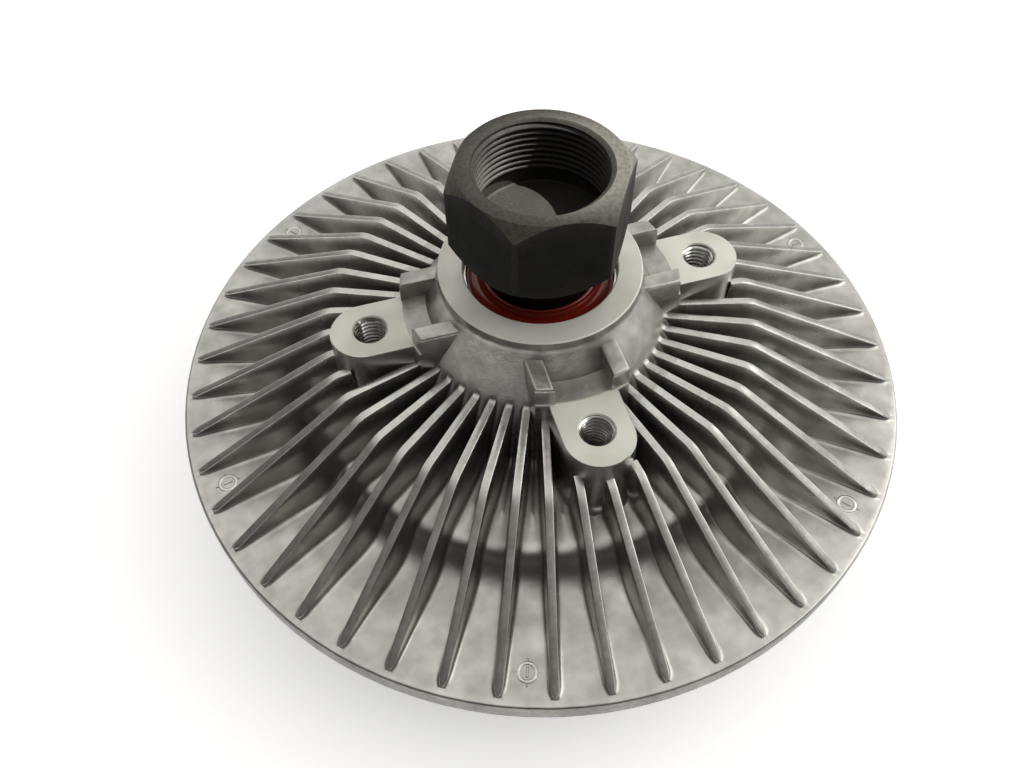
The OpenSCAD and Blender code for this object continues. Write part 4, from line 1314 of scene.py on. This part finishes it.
@dataclass
class CoilStrip:
    """Bimetal spiral with a tail at each end."""

    turns: int = 5
    steps: int = 64
    skipped: tuple[int, int] = (6, 2)
    inner_r: float = 6.5
    outer_r: float = 20.0
    thick: float = 0.9
    low_z: float = 2.0
    high_z: float = 7.0
    bend_r: float = 0.9
    bend_steps: int = 5
    bend_out: float = 0.05
    tail_r: float = 3.0
    tail_grip: float = 0.2
    tail_end: float = 6.0
    tail_out: float = 1.6
    tail_step: float = 0.3
    edge: float = 0.15

    def spiral(self) -> list[Pair]:
        """Middle line of the turns, from the inner tail's end to the outer tail.

        Returns:
            Points of the line.
        """
        pitch = (self.outer_r - self.inner_r) / self.turns
        middle = self.inner_r + self.thick / 2
        start, end = middle + self.bend_out, middle + pitch * self.turns
        line = [(self.tail_end, 0.0),
                *rounded((0.0, 0.0), (start, 0.0), (start, 1.0), self.bend_r, self.bend_steps)]
        for i in range(self.skipped[0], self.turns * self.steps - self.skipped[1]):
            a, r = i * TURN / self.steps, middle + pitch * i / self.steps
            line.append((r * math.cos(a), r * math.sin(a)))
        line += rounded((end, -1.0), (end, 0.0), (end + 1.0, 0.0), self.bend_r, self.bend_steps)
        return [*line, (end + self.thick / 2 + self.tail_out, 0.0)]

    def ribbon(self, line: Sequence[Pair]) -> Shell:
        """A closed strip along a middle line.

        Args:
            line: Points of the line.

        Returns:
            The strip's shell.
        """
        path = np.array(line)
        ahead = np.gradient(path, axis=0)
        ahead /= np.linalg.norm(ahead, axis=1)[:, None]
        normal = np.stack([-ahead[:, 1], ahead[:, 0]], axis=1)
        t, e = self.thick / 2, self.edge
        form = [(-t, self.low_z + e), (-t + e, self.low_z), (t - e, self.low_z), (t, self.low_z + e),
                (t, self.high_z - e), (t - e, self.high_z), (-t + e, self.high_z), (-t, self.high_z - e)]
        sides = [np.column_stack([path + normal * d, np.full(len(path), z)]) for d, z in form]
        shell = Shell()
        shell.block(np.stack(sides, axis=1))
        return shell

    def build(self) -> None:
        """Builds the strip in place of its solid, with its inner tail as a piece of its own that rides on no
        body.
        """
        tail = self.ribbon(dense([(-self.tail_r, 0.0), (self.tail_end, 0.0)], self.tail_step))
        bend = Bend(Body.HOUSING, (self.tail_r + self.tail_grip, 0.0, 0.0), (self.tail_end, 0.0, 0.0))
        tail.build("coil_tail", (BIMETAL,), Body.VALVE, Slot.BIMETAL, bend=bend)
        turns = self.ribbon(self.spiral())
        turns.build("coil_strip", (BIMETAL,), Body.HOUSING, Slot.BIMETAL, ["bimetal_coil"])


@dataclass
class CastingMark:
    """A plain raised ring with ticks that the die leaves on the flange."""

    number: int
    radius: float
    pitches: float
    pitch_deg: float = 7.5
    flange_z: float = 27.0
    sink: float = 0.3
    rise: float = 0.2
    ring_r: float = 1.95
    width: float = 0.42
    crown_from: float = 0.3
    crown_steps: int = 7
    columns: int = 40
    # Painted highlight on the ring's crown.
    painted_light_and_wear: float = 0.7
    tick_r: float = 2.6
    edge: float = 0.12
    bar: Pair = (1.1, 0.28)
    side_tick: Pair = (0.45, 0.18)
    end_tick: Pair = (0.18, 0.5)

    def build(self) -> None:
        """Builds the ring with its four short ticks and middle bar."""
        shell = Shell()
        crown = [(self.ring_r - self.width * math.cos(a), self.rise * math.sin(a))
                 for a in np.linspace(self.crown_from, math.pi - self.crown_from, self.crown_steps)]
        foot = [(self.ring_r + w, z) for w, z in ((self.width, 0.0), (self.width, -self.sink),
                                                  (-self.width, -self.sink), (-self.width, 0.0))]
        shell.revolve([*crown, *foot], self.columns, [self.painted_light_and_wear] * len(crown) + [0.0] * len(foot))
        bars = [(0.0, 0.0, *self.bar)]
        for s in (self.tick_r, -self.tick_r):
            bars += [(s, 0.0, *self.side_tick), (0.0, s, *self.end_tick)]
        for x, y, long, wide in bars:
            shell.block(np.array([[(x + u * (long - d), y + v * (wide - d), z)
                                   for u, v in ((-1, -1), (1, -1), (1, 1), (-1, 1))]
                                  for z, d in ((-self.sink, 0.0), (0.0, 0.0), (self.rise, self.edge))]))
        place = (Matrix.Rotation(math.radians(self.pitch_deg * self.pitches), 4, "Z")
                 @ Matrix.Translation((self.radius * MM, 0.0, self.flange_z * MM)))
        shell.build(f"casting_mark_{self.number}", (CAST,), Body.HOUSING, Slot.CAST, place=place)


@dataclass
class Studio:
    """Pale floor and soft lights, in metres, and the camera, in millimetres."""

    floor_size: float = 30.0
    floor_tone: float = 0.93
    floor_rough: float = 0.9
    floor_glow: float = 0.42
    camera_at: Point = (-43.881, -133.622, 207.597)
    look_at: Point = (-9.540, -7.959, 27.0)
    roll: float = -0.019648
    focal_px: float = 861.751
    frame_px: float = 1024.0
    sensor: float = 36.0
    clip: Pair = (0.01, 50.0)
    sky_tint: Colour = (1.0, 0.985, 0.94)
    bright_side: Point = (0.3, 0.44, 0.85)
    sky_levels: Levels = (0.22, 0.74, 0.05, 1.02)
    horizon_levels: Levels = (0.0, 0.3, 0.3, 0.0)
    lamp_at: Point = (0.86, -0.16, 0.5)
    lamp_aim: Point = (0.0, 0.0, 0.04)
    lamp_size: float = 0.9
    lamp_power: float = 3.6
    lamp_tint: Colour = (1.0, 0.98, 0.94)
    spot_at: Point = (0.42, -0.13, 0.76)
    spot_aim: Point = (0.003, 0.0, 0.086)
    spot_width: float = 0.035
    spot_power: float = 110.0
    spot_fade: float = 0.6
    spot_soft: float = 0.004

    def camera(self) -> None:
        """Sets the camera as the picture was taken."""
        data = bpy.data.cameras.new("camera")
        data.sensor_width = self.sensor
        data.lens = self.sensor * self.focal_px / self.frame_px
        data.clip_start, data.clip_end = self.clip
        camera = add_object("camera", data)
        at, target = Vector(self.camera_at) * MM, Vector(self.look_at) * MM
        ahead = (target - at).normalized()
        right = ahead.cross(UP).normalized()
        up = right.cross(ahead)
        x = right * math.cos(self.roll) + up * math.sin(self.roll)
        y = up * math.cos(self.roll) - right * math.sin(self.roll)
        camera.matrix_world = Matrix.Translation(at) @ Matrix((x, y, -ahead)).transposed().to_4x4()
        bpy.context.scene.camera = camera

    def floor(self) -> None:
        """Lays a plain pale floor under the object."""
        half = self.floor_size / 2
        mesh = bpy.data.meshes.new("floor")
        mesh.from_pydata([(-half, -half, 0.0), (half, -half, 0.0), (half, half, 0.0), (-half, half, 0.0)], [],
                         [(0, 1, 2, 3)])
        paint = bpy.data.materials.new("pale_floor")
        NodeDesk(paint).set(Base_Color=(self.floor_tone,) * 3, Roughness=self.floor_rough,
                            Emission_Color=(1.0, 1.0, 1.0), Emission_Strength=self.floor_glow)
        mesh.materials.append(paint)
        add_object("floor", mesh)

    def lights(self) -> None:
        """Hangs a soft square light at one side and a narrow one for the socket's inner wall."""
        lamp = bpy.data.lights.new("right_light", "AREA")
        lamp.size, lamp.energy, lamp.color = self.lamp_size, self.lamp_power, self.lamp_tint
        spot = bpy.data.lights.new("socket_light", "SPOT")
        spot.energy, spot.spot_blend, spot.shadow_soft_size = self.spot_power, self.spot_fade, self.spot_soft
        spot.spot_size = 2.0 * math.atan2(self.spot_width / 2, math.dist(self.spot_at, self.spot_aim))
        for data, at, aim in ((lamp, self.lamp_at, self.lamp_aim), (spot, self.spot_at, self.spot_aim)):
            light = add_object(data.name, data)
            light.location = at
            light.rotation_mode = "QUATERNION"
            light.rotation_quaternion = (Vector(aim) - Vector(at)).to_track_quat("-Z", "Y")

    def sky(self) -> None:
        """Sets soft light from one side and the horizon, behind a backdrop that itself looks plain white."""
        world = bpy.data.worlds.new("studio")
        desk = NodeDesk(world, "Background", "Generated")
        toward = desk.vector("DOT_PRODUCT", Vector(self.bright_side).normalized()).outputs["Value"]
        split = desk.add("ShaderNodeSeparateXYZ", {0: desk.place})
        side = desk.spread(toward, *self.sky_levels, "SMOOTHSTEP")
        horizon = desk.spread(split.outputs["Z"], *self.horizon_levels, "SMOOTHSTEP")
        seen = desk.add("ShaderNodeLightPath").outputs["Is Camera Ray"]
        brighter = desk.math("MAXIMUM", side, horizon)
        desk.set(Color=self.sky_tint, Strength=desk.math("MAXIMUM", brighter, seen))
        bpy.context.scene.world = world

    def build(self) -> None:
        """Sets up the whole stage."""
        self.camera()
        self.floor()
        self.sky()
        self.lights()
        bpy.context.scene.view_settings.view_transform = "Standard"


@dataclass
class CadNodes:
    """CAD nodes that stay in view and get a finish and softened edges."""

    finishes: dict[str, Finish]
    soft_edges: tuple[str, ...] = ("bearing_inner_race", "bearing_outer_race", "coil_bracket",
                                   "coil_bracket_screws", "valve_shaft", "valve_bush")
    edge: float = 0.15
    segments: int = 2

    def dress(self) -> None:
        """Gives every node its finish."""
        for name, finish in self.finishes.items():
            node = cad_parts[name]
            node.data.materials.clear()
            node.data.materials.append(material_of(finish))
            if name in self.soft_edges:
                bevel = node.modifiers.new("soft_edge", "BEVEL")
                bevel.width = self.edge * MM
                bevel.segments = self.segments
                bevel.limit_method = "ANGLE"
                bevel.harden_normals = False
        LOG.info("dressed %d CAD nodes", len(self.finishes))


def main() -> None:
    """Builds the clutch's pieces in order and sets the stage."""
    logging.basicConfig(level=logging.INFO, format="%(name)s: %(message)s")
    CadNodes(NODE_FINISH).dress()
    casting = HousingCasting()
    casting.build()
    for number in range(BOSSES):
        FanBoss(number, casting).build()
    DriveSocket().build()
    BearingSeal().build()
    CoverCasting().build()
    CoilStrip().build()
    for number, (radius, pitches) in enumerate(MARK_PLACES, 1):
        CastingMark(number, radius, pitches).build()
    Studio().build()


if __name__ == "__main__":
    main()
